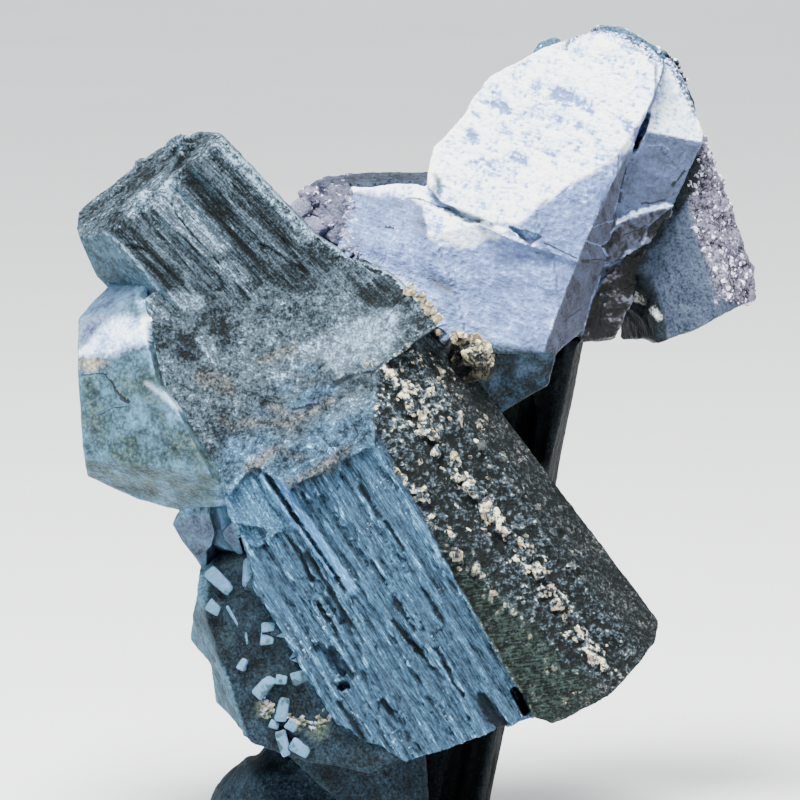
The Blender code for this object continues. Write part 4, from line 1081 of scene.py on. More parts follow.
def crown_finish(tones):
    """White apatite, chalky: painted bright where the key light falls on its top, and blue-grey as
    shade below and on its steep side; with stains where it is broken.
    """
    finish = Finish("apatite_crown", tones, IOR=1.64, Specular_IOR_Level=0.1)
    form = finish.form(2.5, 0.8)
    grit = finish.noise(0.3, detail=2.0, roughness=0.6)
    clouds = finish.noise(2.2)
    scratches = finish.noise((1.3, 0.3, 0.6), CROWN, 3.0, 0.6)
    steep = finish.noise((4.0, 0.5, 1.0), CROWN_SIDE, 3.0, 0.6)
    waver = finish.noise(1.5, detail=2.0) * 0.14 + grit * 0.07
    cracks = finish.strokes(CRACKS, waver)
    chips = scratches * 0.35 + grit * 0.3 + clouds * 0.35 + form
    # The dents are darkened as painted shade in them; the scratches are darker marks
    chips = chips - finish.zone("dent") * 0.22 - finish.strokes(SCRATCHES, waver) * 0.35
    # Painted shade on white apatite: shade is the front facets' blue-grey shade, dim a darker one
    # for upward facets to offset the key light on them, and low and side paint the wing's lower
    # facets, the steep side and the ledge dark as shade
    shade = finish.stepped(chips, plum=-0.98, lilac=-0.6, lavender=0.0, veil=0.6, snow=0.98)
    dim = finish.stepped(chips, dusk=-0.98, plum=-0.5, lilac=0.1, lavender=0.6, chalk=0.98)
    base = finish.stepped(chips, haze=-0.6, veil=0.3)
    mottle = clouds * 0.5 + grit * 0.4 + scratches * 0.3
    mottled = finish.stepped(mottle, flint=-0.8, lilac=-0.4, lavender=0.0, veil=0.4, snow=0.8)
    # lit, and high on the wing's top, are painted light
    lit = finish.stepped(chips * 1.2, lavender=-1.0, veil=-0.65, chalk=-0.3, snow=0.15)
    low = finish.stepped(chips * 0.8, dusk=-0.8, flint=-0.1, lilac=0.6, lavender=1.0)
    high = finish.stepped(chips, lilac=-0.95, veil=-0.6, chalk=-0.1, snow=0.5)
    smooth = steep * 0.4 + grit * 0.35 + clouds * 0.15 + form
    side = finish.stepped(smooth, soot=-0.7, dusk=-0.05, flint=0.65, lilac=1.0)
    torn = grit * 0.4 + steep * 0.3 + clouds * 0.2 + form
    stain = finish.stepped(torn, night=0.0, soot=0.4, cocoa=0.75, plum=1.0)
    # keel: painted shade over a greenish stain on the lower end
    keel = finish.stepped(clouds * 0.6 + grit * 0.4, night=-0.6, deep=-0.1, teal=0.35, plum=0.95)
    glass = finish.stepped(clouds * 0.5 + grit * 0.5, reef=-0.6, haze=0.0, frost=0.7)
    dull = finish.stepped(clouds * 0.5 + grit * 0.4, deep=-0.6, reef=0.0, haze=0.6)
    grown = finish.stepped(grit * 0.9 + clouds * 0.3, ink=-0.7, steel=-0.2, veil=0.25, snow=0.7)
    colour = finish.layered(
        shade,
        ("upper", 1, dim),
        ("base", 0.4, base),
        ("pink", 0.85, mottled),
        ("lit", 1, lit),
        ("wing", 1, finish.blend(finish.zone("upper"), low, high)),
        (finish.zone("side").most(finish.zone("ledge")), 1, side),
        ("hollow", 1, stain),
        ("keel", 1, keel),
        ("glass", 0.8, glass),
        ("wedge", 0.8, dull),
        ("grown", 1, grown),
        (finish.strokes(BRIGHT_EDGES, waver), clouds.rise(-0.6, 0.2) * 0.7, tones.lavender),
        (cracks, 0.9, tones.soot),
    )
    return finish.done(colour, 0.5 + grit * 0.12, chips + grit * 0.4 - cracks, 0.08)


def sea_finish(tones):
    """Blue-green apatite with olive stains, and one face painted white as lit by the key light."""
    finish = Finish("apatite_sea", tones, IOR=1.64, Specular_IOR_Level=0.08)
    grit = finish.noise(0.34, detail=2.0, roughness=0.6)
    clouds = finish.noise(1.6)
    mix = clouds * 0.5 + grit * 0.45 + finish.form(1.5, 0.5) - 0.2
    # lit: painted light for the lit face
    lit = finish.stepped(mix, lavender=-0.9, veil=-0.5, chalk=0.0, snow=0.4)
    dull = finish.stepped(mix, ink=-0.8, flint=-0.3, haze=0.5, veil=0.98)
    stain = finish.stepped(grit + clouds * 0.4, night=-0.6, moss=0.0, lichen=0.9)
    cracks = finish.strokes(SEA_CRACKS, clouds * 0.12 + grit * 0.09)
    colour = finish.layered(
        finish.stepped(mix, deep=-0.9, reef=-0.4, haze=0.4, veil=0.98),
        ("lit", 0.85, lit),
        ((finish.zone("violet") * 0.9).most(finish.zone("bud")), 1, dull),
        ("stain", 0.6 + grit * 0.4, stain),
        ("tan", 0.7, finish.stepped(mix, taupe=-0.7, sand=-0.2, cream=0.4)),
        ("ridge", 0.35, tones.chalk),
        (cracks, 0.9, tones.soot),
    )
    return finish.done(colour, 0.5 + grit * 0.12, mix - cracks, 0.06)


def dark_finish(name, tones, shades, growth, crusts_and_shade=()):
    """Dark and grainy, with layers of (zone, share, dark tone, light tone): crust, stain and
    painted shade.
    """
    finish = Finish(name, tones, IOR=1.66, Specular_IOR_Level=0.05)
    form = finish.form(1.2, 0.35)
    grit = finish.noise(0.27, detail=2.0, roughness=0.65) * 0.8 + finish.chips(0.2) * 0.25
    streaks = finish.noise((3.0, 0.25, 0.8), growth, 3.0, 0.6)
    clouds = finish.noise(2.4, detail=2.0)
    colour = finish.stepped(grit * 0.8 + streaks * 0.25 + clouds * 0.25 + form, **shades)
    crusted = grit * 0.8 + clouds * 0.3 + form.most(-0.2).least(0.2)
    for zone, share, low, high in crusts_and_shade:
        crust = finish.stepped(crusted, **{low: -0.4, high: 0.6})
        colour = finish.layered(colour, (zone, share, crust))
    return finish.done(colour, 0.55 + grit * 0.12, grit + streaks * 0.6, 0.05)


def grain_finish(name, tones, shades, size=0.5, roughness=0.6):
    """Loose grains of one kind, mottled through the named tones from dark to light."""
    finish = Finish(name, tones, IOR=1.6, Specular_IOR_Level=0.1)
    mottle = finish.noise(size) * 0.7 + finish.chips(size) * 0.4
    colours = [getattr(tones, shade) for shade in shades.split()]
    colour = finish.ramped(mottle, list(zip(np.linspace(-0.6, 0.6, len(colours)), colours)))
    return finish.done(colour, roughness + mottle * 0.1, finish.noise(0.3), 0.04)


def stage_finish(colour):
    """Plain pale paper."""
    finish = Finish("floor_paper")
    mottle = finish.noise(60.0)
    low = tuple(part * 0.97 for part in colour)
    shade = finish.ramped(mottle, [(-0.5, low), (0.5, tuple(colour))])
    return finish.done(shade, 0.9 - mottle * 0.05, mottle, 0.05, 0.1)


# ---- small crystals and grains -------------------------------------------------------------------


def sprinkled(piece, zone, count, seed):
    """Random (place, normal) pairs on a piece where the zone is strong."""
    mesh = bpy.data.objects[piece].data
    values = np.zeros(len(mesh.vertices), np.float32)
    mesh.attributes[zone].data.foreach_get("value", values)
    spots = np.flatnonzero(values > INSIDE)
    chance = np.random.default_rng(SEED + seed)
    chosen = chance.choice(spots, size=min(count, len(spots)), replace=False)
    places, normals = skin_of(mesh)
    return [(Vector(places[i]), Vector(normals[i])) for i in chosen]


def crumb_shapes(dice, subdivisions):
    """Uneven grains about 1 across, as meshes."""
    shapes = []
    for _ in range(GRAIN_SHAPES):
        bm = bmesh.new()
        bmesh.ops.create_icosphere(bm, subdivisions=subdivisions, radius=0.5)
        for vert in bm.verts:
            vert.co *= 1 + dice.uniform(-0.34, 0.34)
        shapes.append(bpy.data.meshes.new("crumb"))
        bm.to_mesh(shapes[-1])
        bm.free()
    return shapes


def gathered(shapes, placings):
    """Copies of the shapes in turn, placed by matrices in upright millimetres, in one mesh."""
    upright = Matrix([turned(1, 0, 0), turned(0, 1, 0), turned(0, 0, 1)]).transposed().to_4x4()
    shift = Matrix.Translation(-Vector((MIDDLE_ACROSS, MIDDLE_AWAY, 0)))
    to_row = Matrix.Scale(MM, 4) @ shift @ upright
    bm = bmesh.new()
    for number, placing in enumerate(placings):
        copy = shapes[number % len(shapes)].copy()
        copy.transform(to_row @ placing)
        bm.from_mesh(copy)
        bpy.data.meshes.remove(copy)
    bmesh.ops.recalc_face_normals(bm, faces=bm.faces)
    mesh = bpy.data.meshes.new("grains")
    bm.to_mesh(mesh)
    bm.free()
    return mesh


def grains(spots, dice, smallest, largest, sink=0.25, flat=(0.4, 0.7)):
    """A placing for a grain at each spot, turned at random and set a little into the skin."""
    placings = []
    for place, normal in spots:
        size = smallest + (largest - smallest) * dice.random() ** 2
        turn = Matrix.Rotation(dice.uniform(0, 2 * math.pi), 4, normal)
        stand_up = normal.to_track_quat("Z", "Y").to_matrix().to_4x4()
        width, height = size * dice.uniform(0.55, 1.0), size * dice.uniform(*flat)
        scale = Matrix.Diagonal((size, width, height, 1))
        root = Matrix.Translation(place - normal * size * sink)
        placings.append(root @ turn @ stand_up @ scale)
    return placings


def front_finder(piece):
    """A function that gives a piece's (place, normal) at an (across, up), from the show side."""
    tree = search_tree(bpy.data.objects[piece].data)

    def find(across, up):
        place, normal, _, _ = tree.ray_cast(Vector((across, up, IN_FRONT)), Vector((0, 0, -1)))
        return (place, normal) if place else None

    return find


def seam_spots(find, path, count, spread, dice, inward=(0.0, 0.0)):
    """Places near a path of (across, up), with the depth and normal of the skin a little inward."""
    spots = []
    for _ in range(count):
        number = dice.randrange(len(path) - 1)
        middle = Vector(path[number]).lerp(Vector(path[number + 1]), dice.random())
        across, up = middle.x + dice.gauss(0, spread), middle.y + dice.gauss(0, spread)
        hit = find(across + inward[0], up + inward[1])
        if hit:
            spots.append((Vector((across, up, hit[0].z)), hit[1]))
    return spots


# Where grains gather: between trunk and crown, on the crumb, on the crown's left edge, on the foot
CROWN_SEAM = [(0.6, 56.2), (1.9, 55.2), (2.9, 54.0), (3.9, 52.9), (4.6, 52.0), (5.2, 51.3)]
CRUMB_TOP = [(5.4, 51.2), (6.2, 51.4), (7.4, 51.0), (9.0, 50.3)]
CROWN_EDGE = [(-5.0, 66.4), (-5.2, 64.4), (-5.3, 62.4), (-5.0, 60.4), (-4.6, 59.4)]
FOOT_SPOTS = [
    [(-13.6, 15.0), (-13.2, 14.0)], [(-10.6, 13.2), (-9.8, 12.4)], [(-8.6, 12.6), (-7.2, 13.4)],
]

# Small crystals, between the buds and the trunk and on the foot: (across, up, length, width, fall)
BETWEEN_BUDS = (-17.3, 33.7, 3.2, 2.6, 70)
FOOT_CRYSTALS = [
    (-17.9, 27.1, 2.8, 1.3, 44), (-15.1, 27.8, 2.7, 0.9, 95), (-18.5, 24.4, 1.3, 1.1, 30),
    (-13.1, 22.4, 1.2, 0.9, 0), (-13.2, 21.3, 1.2, 1.2, 5), (-16.7, 23.5, 2.0, 0.3, 60),
    (-15.2, 21.3, 1.1, 0.25, 80), (-11.6, 22.0, 1.8, 1.1, 15), (-10.1, 19.5, 1.2, 1.1, 30),
    (-15.6, 18.7, 1.1, 0.8, -60), (-13.5, 16.5, 2.3, 1.3, -52), (-11.8, 17.2, 1.0, 0.9, 10),
    (-10.0, 17.5, 1.5, 1.2, -20), (-11.7, 14.3, 2.2, 1.2, -78), (-12.5, 12.7, 0.9, 0.8, 20),
    (-10.8, 12.6, 1.0, 0.9, 40), (-11.6, 10.9, 2.4, 1.0, 75), (-9.9, 10.4, 1.9, 1.3, 35),
]


def laid(place, fall_deg, tip, size):
    """A placing for a long grain: its long side falls to the right, and tip turns it about that."""
    turn = Matrix.Rotation(-math.radians(fall_deg), 4, "Z") @ Matrix.Rotation(-tip, 4, "X")
    return Matrix.Translation(place) @ turn @ Matrix.Diagonal((*size, 1))


def fleck_placings(find):
    """Placings of the bright and of the dull flecks, each with a few small ones round it."""
    dice, spare = random.Random(SEED), random.Random(SEED + 100)
    bright, dull = [], []
    for side, start, end in FLECK_ROWS:
        reach = start
        while reach < end:
            offset = side + dice.uniform(-0.7, 0.7)
            across, up = FLECKED.place(reach, offset)
            long, deep = dice.uniform(0.9, 1.7), dice.uniform(0.7, 1.1)
            wide = dice.uniform(0.6, 1.0)
            placings = dull if side > DULL_SIDE and reach > DULL_REACH else bright
            hit = find(across, up)
            if hit:
                place = hit[0] - Vector((0, 0, 0.35 * deep))
                fall, tip = dice.uniform(20, 80), dice.uniform(-0.5, 0.5)
                placings.append(laid(place, fall, tip, (long * 1.15, wide * 1.15, deep)))
            for _ in range(spare.randint(2, 5)):
                near = find(across + spare.gauss(0, 0.9), up + spare.gauss(0, 0.9))
                if near and left_of(np.array([near[0]]), *BROWN_EDGE)[0] > 0.2:
                    small = spare.uniform(0.25, 0.65)
                    size = (small * spare.uniform(1.0, 1.8), small, small * 0.7)
                    fall, tip = spare.uniform(-10, 90), spare.uniform(-0.6, 0.6)
                    placings.append(laid(near[0] - Vector((0, 0, 0.1)), fall, tip, size))
            reach += dice.uniform(1.2, 3.0)
    return bright, dull


def tablet(dice):
    """A small crystal with worn edges and one narrower end, 1 on each side."""
    bm = bmesh.new()
    bmesh.ops.create_cube(bm, size=1.0)
    for vert in bm.verts:
        vert.co.y *= 1 - 0.35 * (vert.co.x > 0) * dice.random()
        vert.co += Vector([dice.uniform(-0.09, 0.09) for _ in range(3)])
    settings = {"offset": 0.17, "segments": 2, "profile": 0.5, "affect": "EDGES", "material": -1}
    bmesh.ops.bevel(bm, geom=bm.edges[:], **settings)
    bmesh.ops.triangulate(bm, faces=bm.faces)
    mesh = bpy.data.meshes.new("tablet")
    bm.to_mesh(mesh)
    bm.free()
    return mesh


# ---- settings ------------------------------------------------------------------------------------


def tone(name, description, red, green, blue):
    """A colour setting, its default written as 0 to 255 on a screen."""
    settings = {"subtype": "COLOR", "size": 3, "min": 0, "max": 1}
    colour = linear(red, green, blue)
    return bpy.props.FloatVectorProperty(
        name=name, description=description, default=colour, **settings
    )


class SPECIMEN_PG_tones(bpy.types.PropertyGroup):
    """The colours of the minerals."""

    night: tone("Night", "The blackest hornblende, in furrows and pits", 10, 14, 15)
    deep: tone("Deep", "Dark hornblende", 28, 37, 43)
    slate: tone("Slate", "Dusty dark hornblende", 53, 65, 74)
    mist: tone("Mist", "Worn hornblende in the saddle", 74, 89, 101)
    # Frost also paints the glints and edge highlights on the hornblende
    frost: tone("Frost", "Pale specks on the hornblende", 156, 184, 209)
    reef: tone("Reef", "Dark blue-green apatite", 48, 68, 79)
    haze: tone("Haze", "Blue-green apatite", 78, 116, 139)
    steel: tone("Steel", "Blue-grey hornblende", 57, 66, 85)
    ink: tone("Ink", "Dark threads of the cleavage face", 27, 40, 51)
    teal: tone("Teal", "The cleavage face in shade", 50, 71, 90)
    # Sky and Silk are the cleavage face's painted sheen and silky highlights
    sky: tone("Sky", "The cleavage face", 65, 104, 133)
    silk: tone("Silk", "Silky lights on the cleavage face", 150, 205, 236)
    ridge: tone("Ridge", "The smooth ridge on the cleavage face", 74, 120, 168)
    umber: tone("Umber", "Shaded earthy patches", 35, 37, 40)
    taupe: tone("Taupe", "Earthy patches", 70, 73, 73)
    sand: tone("Sand", "Pale earthy patches", 139, 127, 107)
    bark: tone("Bark", "The flecked face", 23, 27, 28)
    ash: tone("Ash", "Dust on the flecked face", 57, 60, 62)
    cream: tone("Cream", "Flecks", 218, 208, 172)
    olive: tone("Olive", "Fibrous patches on the flecked face", 35, 48, 50)
    lichen: tone("Lichen", "Light fibres and stains", 85, 96, 81)
    moss: tone("Moss", "Dark stains on the apatite", 38, 51, 44)
    snow: tone("Snow", "The brightest apatite", 250, 251, 252)
    chalk: tone("Chalk", "Bright apatite", 206, 226, 246)
    veil: tone("Veil", "Pale grey-blue apatite", 134, 160, 212)
    lavender: tone("Lavender", "Apatite in shade", 100, 119, 164)
    lilac: tone("Lilac", "Darker apatite in shade", 78, 93, 132)
    plum: tone("Plum", "The steep side of the crown", 85, 90, 109)
    flint: tone("Flint", "Steep apatite with a blue cast", 64, 76, 102)
    dusk: tone("Dusk", "The darkest steep apatite", 54, 58, 74)
    rose: tone("Rose", "Pinkish apatite", 123, 121, 143)
    cocoa: tone("Cocoa", "Brown stain in the broken hollow", 55, 53, 55)
    soot: tone("Soot", "Black stain in cracks", 24, 26, 29)
    blush: tone("Blush", "Pinkish crust", 197, 188, 213)
    straw: tone("Straw", "The yellow-beige crumb", 180, 173, 131)


def length(name, description, millimetres):
    """A length setting in metres, its default written in millimetres."""
    settings = {"default": millimetres * MM, "min": 0, "unit": "LENGTH", "precision": 6}
    return bpy.props.FloatProperty(name=name, description=description, **settings)


def number(name, description, default, least=0):
    """A whole number setting."""
    return bpy.props.IntProperty(name=name, description=description, default=default, min=least)


def strength(name, description, default, unit="NONE"):
    """A setting that is a number of its unit, not less than 0."""
    settings = {"default": default, "min": 0, "unit": unit}
    return bpy.props.FloatProperty(name=name, description=description, **settings)


class SPECIMEN_PG_sizes(bpy.types.PropertyGroup):
    """How closely the skins are meshed, and how many loose grains lie on them."""

    trunk_grid: length("Trunk grid", "Spacing of the trunk's skin", 0.26)
    apatite_grid: length("Apatite grid", "Spacing of the apatites' skins", 0.22)
    dark_grid: length("Dark grid", "Spacing of the other hornblendes' skins", 0.24)
    small_grid: length("Small grid", "Spacing of the smallest pieces' skins", 0.14)
    most_triangles: number("Most triangles", "The most triangles in one skin", 190000, 1000)
    crust_grains: number("Crust grains", "Grains in the crust of the right crystal", 900)
    saddle_grains: number("Saddle grains", "Pale grains on the rough parts of the trunk", 1800)


class SPECIMEN_PG_stage(bpy.types.PropertyGroup):
    """The floor, the lights and the camera."""

    floor: tone("Floor", "Colour of the floor", 226, 228, 230)
    sky: tone("Room", "Colour of the light from all round", 214, 224, 238)
    room_light: strength("Room light", "Strength of the light from all round", 0.28)
    key_power: strength("Key power", "Power of the large light overhead", 20.0, "POWER")
    fill_power: strength("Fill power", "Power of the light beside the camera", 1.5, "POWER")
    rim_power: strength("Rim power", "Power of the light at the upper right", 3.0, "POWER")
    backdrop_power: strength("Backdrop power", "Power of the light over the far floor", 30, "POWER")
    distance: length("Distance", "From the camera to the group", 800)


# ---- operators -----------------------------------------------------------------------------------


def tones_and_sizes(context):
    """The settings that the operators read."""
    return context.scene.specimen_tones, context.scene.specimen_sizes


class SPECIMEN_OT_trunk(bpy.types.Operator):
    """The big hornblende, with its upper prism, saddle, cleavage face and flecked face"""

    bl_idname = "specimen.trunk"
    bl_label = "Hornblende trunk"

    def execute(self, context):
        finish, makers = trunk_finish(context.scene.specimen_tones), (trunk_zones, trunk_relief)
        dressed(
            context, "hornblende_trunk", "trunk_skin", "trunk_grid", makers, finish,
            "hornblende_blue",
        )
        return {"FINISHED"}


class SPECIMEN_OT_trunk_grains(bpy.types.Operator):
    """Flecks in rows on the flecked face, and pale grains over the rough parts of the trunk"""

    bl_idname = "specimen.trunk_grains"
    bl_label = "Flecks and grains"

    def execute(self, context):
        tones, sizes = tones_and_sizes(context)
        dice = random.Random(SEED + 1)
        shapes = crumb_shapes(dice, 1)
        cream = grain_finish("cream_flecks", tones, "bark taupe sand sand cream", 0.6)
        dim = grain_finish("dull_flecks", tones, "night bark ash taupe", 0.6)
        pale = grain_finish("pale_grains", tones, "deep slate mist frost")
        bright, dull = fleck_placings(front_finder("trunk_skin"))
        shown("cream_flecks", gathered(shapes, bright), cream, "matrix_pale")
        shown("dull_flecks", gathered(shapes, dull), dim, "matrix_pale")
        spots = sprinkled("trunk_skin", "cap", sizes.saddle_grains // 2, 2)
        spots += sprinkled("trunk_skin", "pale", sizes.saddle_grains // 2, 3)
        placings = grains(spots, dice, 0.18, 0.5)
        shown("saddle_grains", gathered(shapes, placings), pale, "hornblende_blue")
        spots = sprinkled("trunk_skin", "fleck", sizes.saddle_grains // 3, 4)
        placings = grains(spots, dice, 0.2, 0.7)
        shown("fleck_grains", gathered(shapes, placings), cream, "matrix_pale")
        return {"FINISHED"}


class SPECIMEN_OT_crown(bpy.types.Operator):
    """The white apatite crystal on the right"""

    bl_idname = "specimen.crown"
    bl_label = "Apatite crown"

    def execute(self, context):
        finish, makers = crown_finish(context.scene.specimen_tones), (crown_zones, crown_relief)
        dressed(
            context, "apatite_crown", "crown_skin", "apatite_grid", makers, finish,
            "apatite_white", ["hornblende_trunk"],
        )
        return {"FINISHED"}


class SPECIMEN_OT_sea_apatites(bpy.types.Operator):
    """The stained apatite on the left flank and the two buds under it"""

    bl_idname = "specimen.sea_apatites"
    bl_label = "Left apatites"

    def execute(self, context):
        finish, makers = sea_finish(context.scene.specimen_tones), (sea_zones, sea_relief)
        near = ["hornblende_trunk", "hornblende_foot"]
        dressed(
            context, "apatite_left", "left_skin", "apatite_grid", makers, finish,
            "apatite_sea", near,
        )
        dressed(
            context, "apatite_buds", "bud_skin", "small_grid", makers, finish,
            "apatite_sea", [*near, "apatite_left"],
        )
        return {"FINISHED"}


# Shades, as tones with the values that they stand at
BLACK = {"night": 0.0, "deep": 0.8}
BLUE_BLACK = {"night": -0.5, "ink": 0.2, "reef": 0.95}
BLUE_GREY = {"deep": -0.7, "steel": 0.0, "mist": 0.8}
# The other dark crystals: node, piece, grid, (zones, relief), shades, growth, what they grow
# against, and their layers of crust, stain and painted shade as (zone, share, dark tone, light
# tone)
DARK_CRYSTALS = [
    (
        "hornblende_right", "right_skin", "dark_grid", (right_zones, right_relief),
        BLUE_GREY, RIGHT, ["apatite_crown"],
        [
            # flank: the right crystal's face turned from the key light, painted darker as shade
            ("crust", 1, "soot", "rose"), ("flank", 0.95, "night", "deep"),
            ("rim", 1, "ink", "haze"), ("blob", 0.9, "taupe", "snow"),
        ],
    ),
    (
        "hornblende_back", "back_skin", "small_grid", (back_zones, back_relief),
        BLUE_GREY, RIGHT, ["hornblende_trunk", "apatite_crown"],
        [("crust", 1, "plum", "rose"), ("rim", 0.9, "night", "steel")],
    ),
    (
        "hornblende_rear", "rear_skin", "dark_grid", (no_zones, rear_relief),
        BLACK, REAR, ["hornblende_trunk", "apatite_crown", "hornblende_foot"],
        [],
    ),
    (
        "hornblende_foot", "foot_skin", "dark_grid", (foot_zones, foot_relief),
        BLUE_BLACK, CLEAVED, ["hornblende_trunk"],
        [
            ("facet", 0.9, "reef", "haze"), ("moss", 0.5, "night", "olive"),
            ("line", 0.7, "reef", "haze"), ("spots", 0.6, "olive", "lichen"),
        ],
    ),
    (
        "matrix_knob", "knob_skin", "dark_grid", (knob_zones, knob_relief),
        BLUE_BLACK, REAR, ["hornblende_foot", "hornblende_rear"],
        [("moss", 0.5, "deep", "reef")],
    ),
]


class SPECIMEN_OT_dark_hornblendes(bpy.types.Operator):
    """The hornblendes behind and below: right, back, rear and foot, with the knob of matrix"""

    bl_idname = "specimen.dark_hornblendes"
    bl_label = "Dark hornblendes"

    def execute(self, context):
        tones = context.scene.specimen_tones
        for node, piece, grid, makers, shades, growth, near, crusts_and_shade in DARK_CRYSTALS:
            finish = dark_finish(node, tones, shades, growth, crusts_and_shade)
            dressed(context, node, piece, grid, makers, finish, "hornblende_dark", near)
        return {"FINISHED"}


class SPECIMEN_OT_crusts(bpy.types.Operator):
    """Pinkish grains crusted over the right and back crystals"""

    bl_idname = "specimen.crusts"
    bl_label = "Crusts"

    def execute(self, context):
        tones, sizes = tones_and_sizes(context)
        dice = random.Random(SEED + 5)
        shapes = crumb_shapes(dice, 2)
        finish = grain_finish("pink_crust", tones, "dusk rose blush snow", 0.45)
        spots = sprinkled("right_skin", "crust", sizes.crust_grains, 6)
        spots += sprinkled("right_skin", "rim", sizes.crust_grains // 5, 9)
        placings = grains(spots, dice, 0.25, 0.9, flat=(0.6, 1.0))
        shown("right_crust", gathered(shapes, placings), finish, "hornblende_dark")
        spots = sprinkled("back_skin", "crust", sizes.crust_grains // 5, 7)
        placings = grains(spots, dice, 0.25, 0.8, flat=(0.6, 1.0))
        shown("back_crust", gathered(shapes, placings), finish, "hornblende_dark")
        return {"FINISHED"}


class SPECIMEN_OT_small_crystals(bpy.types.Operator):
    """Small pale crystals scattered over the foot, and one between the buds and the trunk"""

    bl_idname = "specimen.small_crystals"
    bl_label = "Small crystals"

    def execute(self, context):
        dice = random.Random(SEED + 8)
        find = front_finder("foot_skin")
        placings = []
        for across, up, long, wide, fall in FOOT_CRYSTALS:
            hit = find(across, up)
            if not hit:
                raise RuntimeError(f"no skin under the small crystal at {across}, {up}")
            size = (long * 1.08, wide * 1.08, min(1.0, 0.8 + wide / 4))
            tip = dice.uniform(-0.4, 0.4)
            placings.append(laid(hit[0] - Vector((0, 0, 0.3)), fall, tip, size))
        across, up, long, wide, fall = BETWEEN_BUDS
        hit = front_finder("bud_skin")(across - 0.9, up)
        if not hit:
            raise RuntimeError("no bud beside the crystal between the buds and the trunk")
        placings.append(laid(Vector((across, up, hit[0].z - 0.9)), fall, 0.3, (long, wide, wide)))
        mesh = gathered([tablet(dice) for _ in range(TABLET_SHAPES)], placings)
        tones = context.scene.specimen_tones
        finish = grain_finish("small_crystals", tones, "reef haze haze lavender", 1.0, 0.4)
        shown("foot_crystals", mesh, finish, "apatite_white")
        return {"FINISHED"}


class SPECIMEN_OT_seam_grains(bpy.types.Operator):
    """Grains gathered in the seams between the crystals and in spots on the foot"""

    bl_idname = "specimen.seam_grains"
    bl_label = "Seam grains"

    def execute(self, context):
        tones = context.scene.specimen_tones
        dice = random.Random(SEED + 11)
        shapes = crumb_shapes(dice, 2)
        names = ("trunk_skin", "crumb_skin", "crown_skin", "foot_skin")
        trunk, crumb, crown, foot = (front_finder(name) for name in names)
        cream = grain_finish("seam_grains", tones, "taupe sand sand cream")
        spots = seam_spots(trunk, CROWN_SEAM, 80, 0.28, dice, (-0.6, -0.9))
        spots += seam_spots(crumb, CRUMB_TOP, 60, 0.35, dice)
        placings = grains(spots, dice, 0.25, 1.1, sink=0.1, flat=(0.6, 1.0))
        shown("seam_grains", gathered(shapes, placings), cream, "matrix_pale")
        pinkish = grain_finish("edge_grains", tones, "dusk plum rose blush")
        spots = seam_spots(crown, CROWN_EDGE, 120, 0.35, dice, (0.5, 0.0))
        placings = grains(spots, dice, 0.2, 0.7)
        shown("edge_grains", gathered(shapes, placings), pinkish, "hornblende_dark")
        mossy = grain_finish("spot_grains", tones, "moss lichen sand veil")
        spots = [spot for path in FOOT_SPOTS for spot in seam_spots(foot, path, 22, 0.45, dice)]
        placings = grains(spots, dice, 0.3, 1.0, sink=0.1, flat=(0.6, 1.0))
        shown("spot_grains", gathered(shapes, placings), mossy, "matrix_pale")
        return {"FINISHED"}


class SPECIMEN_OT_crumb(bpy.types.Operator):
    """The folded pale crumb between the trunk and the crown"""

    bl_idname = "specimen.crumb"
    bl_label = "Matrix crumb"

    def execute(self, context):
        tones = context.scene.specimen_tones
        shades = {"umber": -0.9, "taupe": -0.4, "straw": 0.1, "cream": 0.8}
        # shaded: the crumb's lower part painted dark as shade
        crusts_and_shade = [("shaded", 0.9, "night", "umber")]
        finish = dark_finish("matrix_crumb", tones, shades, CROWN, crusts_and_shade)
        dressed(
            context, "matrix_crumb", "crumb_skin", "small_grid", (crumb_zones, crumb_relief),
            finish, "matrix_pale", ["hornblende_trunk", "apatite_crown"],
        )
        return {"FINISHED"}


def lamp(name, power, size, colour, place, target):
    """A square soft light at a place in metres, turned to its target."""
    light = bpy.data.lights.new(name, "AREA")
    light.energy, light.size, light.color = power, size, colour
    obj = bpy.data.objects.new(name, light)
    obj.location = place
    obj.rotation_euler = (Vector(target) - Vector(place)).to_track_quat("-Z", "Y").to_euler()
    bpy.context.scene.collection.objects.link(obj)


FLOOR_REACH, FLOOR_PARTS = 6.0, 8  # half the floor's side in metres, and its squares along a side
SENSOR_MM = 36.0
TARGET = at(0, 45, 0)  # what the camera and the lights are turned to
WHITE, WARM, LOW_SUN, COOL = (1, 1, 1), (1.0, 0.99, 0.97), (1.0, 0.97, 0.94), (0.80, 0.90, 1.0)


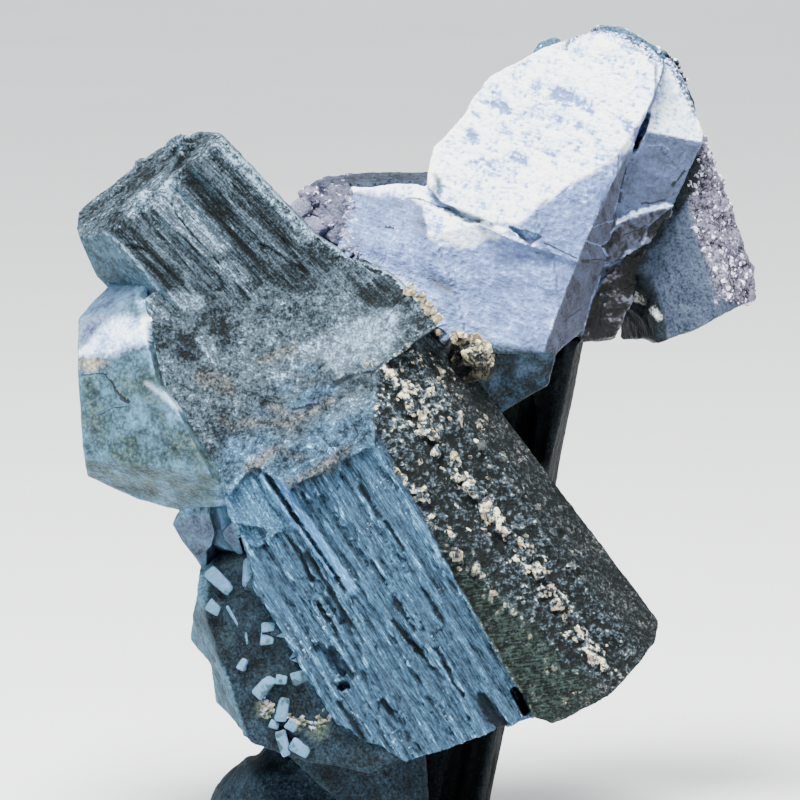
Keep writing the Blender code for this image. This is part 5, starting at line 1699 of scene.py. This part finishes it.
class SPECIMEN_OT_stage(bpy.types.Operator):
    """A plain pale floor, soft lights and the camera"""

    bl_idname = "specimen.stage"
    bl_label = "Stage"

    def execute(self, context):
        stage = context.scene.specimen_stage
        bm = bmesh.new()
        parts = {"x_segments": FLOOR_PARTS, "y_segments": FLOOR_PARTS}
        bmesh.ops.create_grid(bm, size=FLOOR_REACH, **parts)
        mesh = bpy.data.meshes.new("floor")
        bm.to_mesh(mesh)
        bm.free()
        mesh.materials.append(stage_finish(stage.floor))
        floor = bpy.data.objects.new("floor", mesh)
        context.scene.collection.objects.link(floor)
        overhead, far_floor = Vector((0, 1.6, 1.2)), Vector((0, 1.8, 0))
        lamp("key", stage.key_power, 0.30, WARM, TARGET + turned(-0.10, 0.52, 0.30), TARGET)
        lamp("fill", stage.fill_power, 0.35, COOL, TARGET + turned(-0.38, 0.12, 0.50), TARGET)
        lamp("backdrop", stage.backdrop_power, 1.5, WHITE, overhead, far_floor)
        lamp("rim", stage.rim_power, 0.25, LOW_SUN, TARGET + turned(0.50, 0.30, 0.10), TARGET)
        world = bpy.data.worlds.new("studio")
        world.use_nodes = True
        background = world.node_tree.nodes["Background"]
        background.inputs["Color"].default_value = (*stage.sky, 1)
        background.inputs["Strength"].default_value = stage.room_light
        context.scene.world = world
        camera = bpy.data.cameras.new("camera")
        camera.sensor_width = SENSOR_MM
        camera.lens = SENSOR_MM * stage.distance / FRAME_WIDTH
        obj = bpy.data.objects.new("camera", camera)
        obj.location = TARGET + turned(0, 0, stage.distance)
        obj.rotation_euler = turned(0, 0, 1).to_track_quat("Z", "Y").to_euler()
        context.scene.collection.objects.link(obj)
        context.scene.camera = obj
        return {"FINISHED"}


class SPECIMEN_PT_pieces(bpy.types.Panel):
    """Lists the pieces of the specimen and its settings"""

    bl_idname = "SPECIMEN_PT_pieces"
    bl_label = "Specimen"
    bl_space_type = "VIEW_3D"
    bl_region_type = "UI"
    bl_category = "Specimen"

    def draw(self, context):
        layout = self.layout
        for operator in OPERATORS:
            layout.operator(operator.bl_idname)
        for name in SETTINGS:
            group = getattr(context.scene, name)
            for key in group.bl_rna.properties.keys():
                if key not in ("rna_type", "name"):
                    layout.prop(group, key)


OPERATORS = (
    SPECIMEN_OT_trunk,
    SPECIMEN_OT_trunk_grains,
    SPECIMEN_OT_crown,
    SPECIMEN_OT_sea_apatites,
    SPECIMEN_OT_dark_hornblendes,
    SPECIMEN_OT_crusts,
    SPECIMEN_OT_small_crystals,
    SPECIMEN_OT_crumb,
    SPECIMEN_OT_seam_grains,
    SPECIMEN_OT_stage,
)
SETTINGS = {
    "specimen_tones": SPECIMEN_PG_tones,
    "specimen_sizes": SPECIMEN_PG_sizes,
    "specimen_stage": SPECIMEN_PG_stage,
}


def register():
    for group in (*SETTINGS.values(), *OPERATORS, SPECIMEN_PT_pieces):
        bpy.utils.register_class(group)
    for name, group in SETTINGS.items():
        setattr(bpy.types.Scene, name, bpy.props.PointerProperty(type=group))


def unregister():
    for name in SETTINGS:
        delattr(bpy.types.Scene, name)
    for group in reversed((*SETTINGS.values(), *OPERATORS, SPECIMEN_PT_pieces)):
        bpy.utils.unregister_class(group)


def main():
    register()
    for operator in OPERATORS:
        group, name = operator.bl_idname.split(".")
        getattr(getattr(bpy.ops, group), name)()


if __name__ == "__main__":
    main()
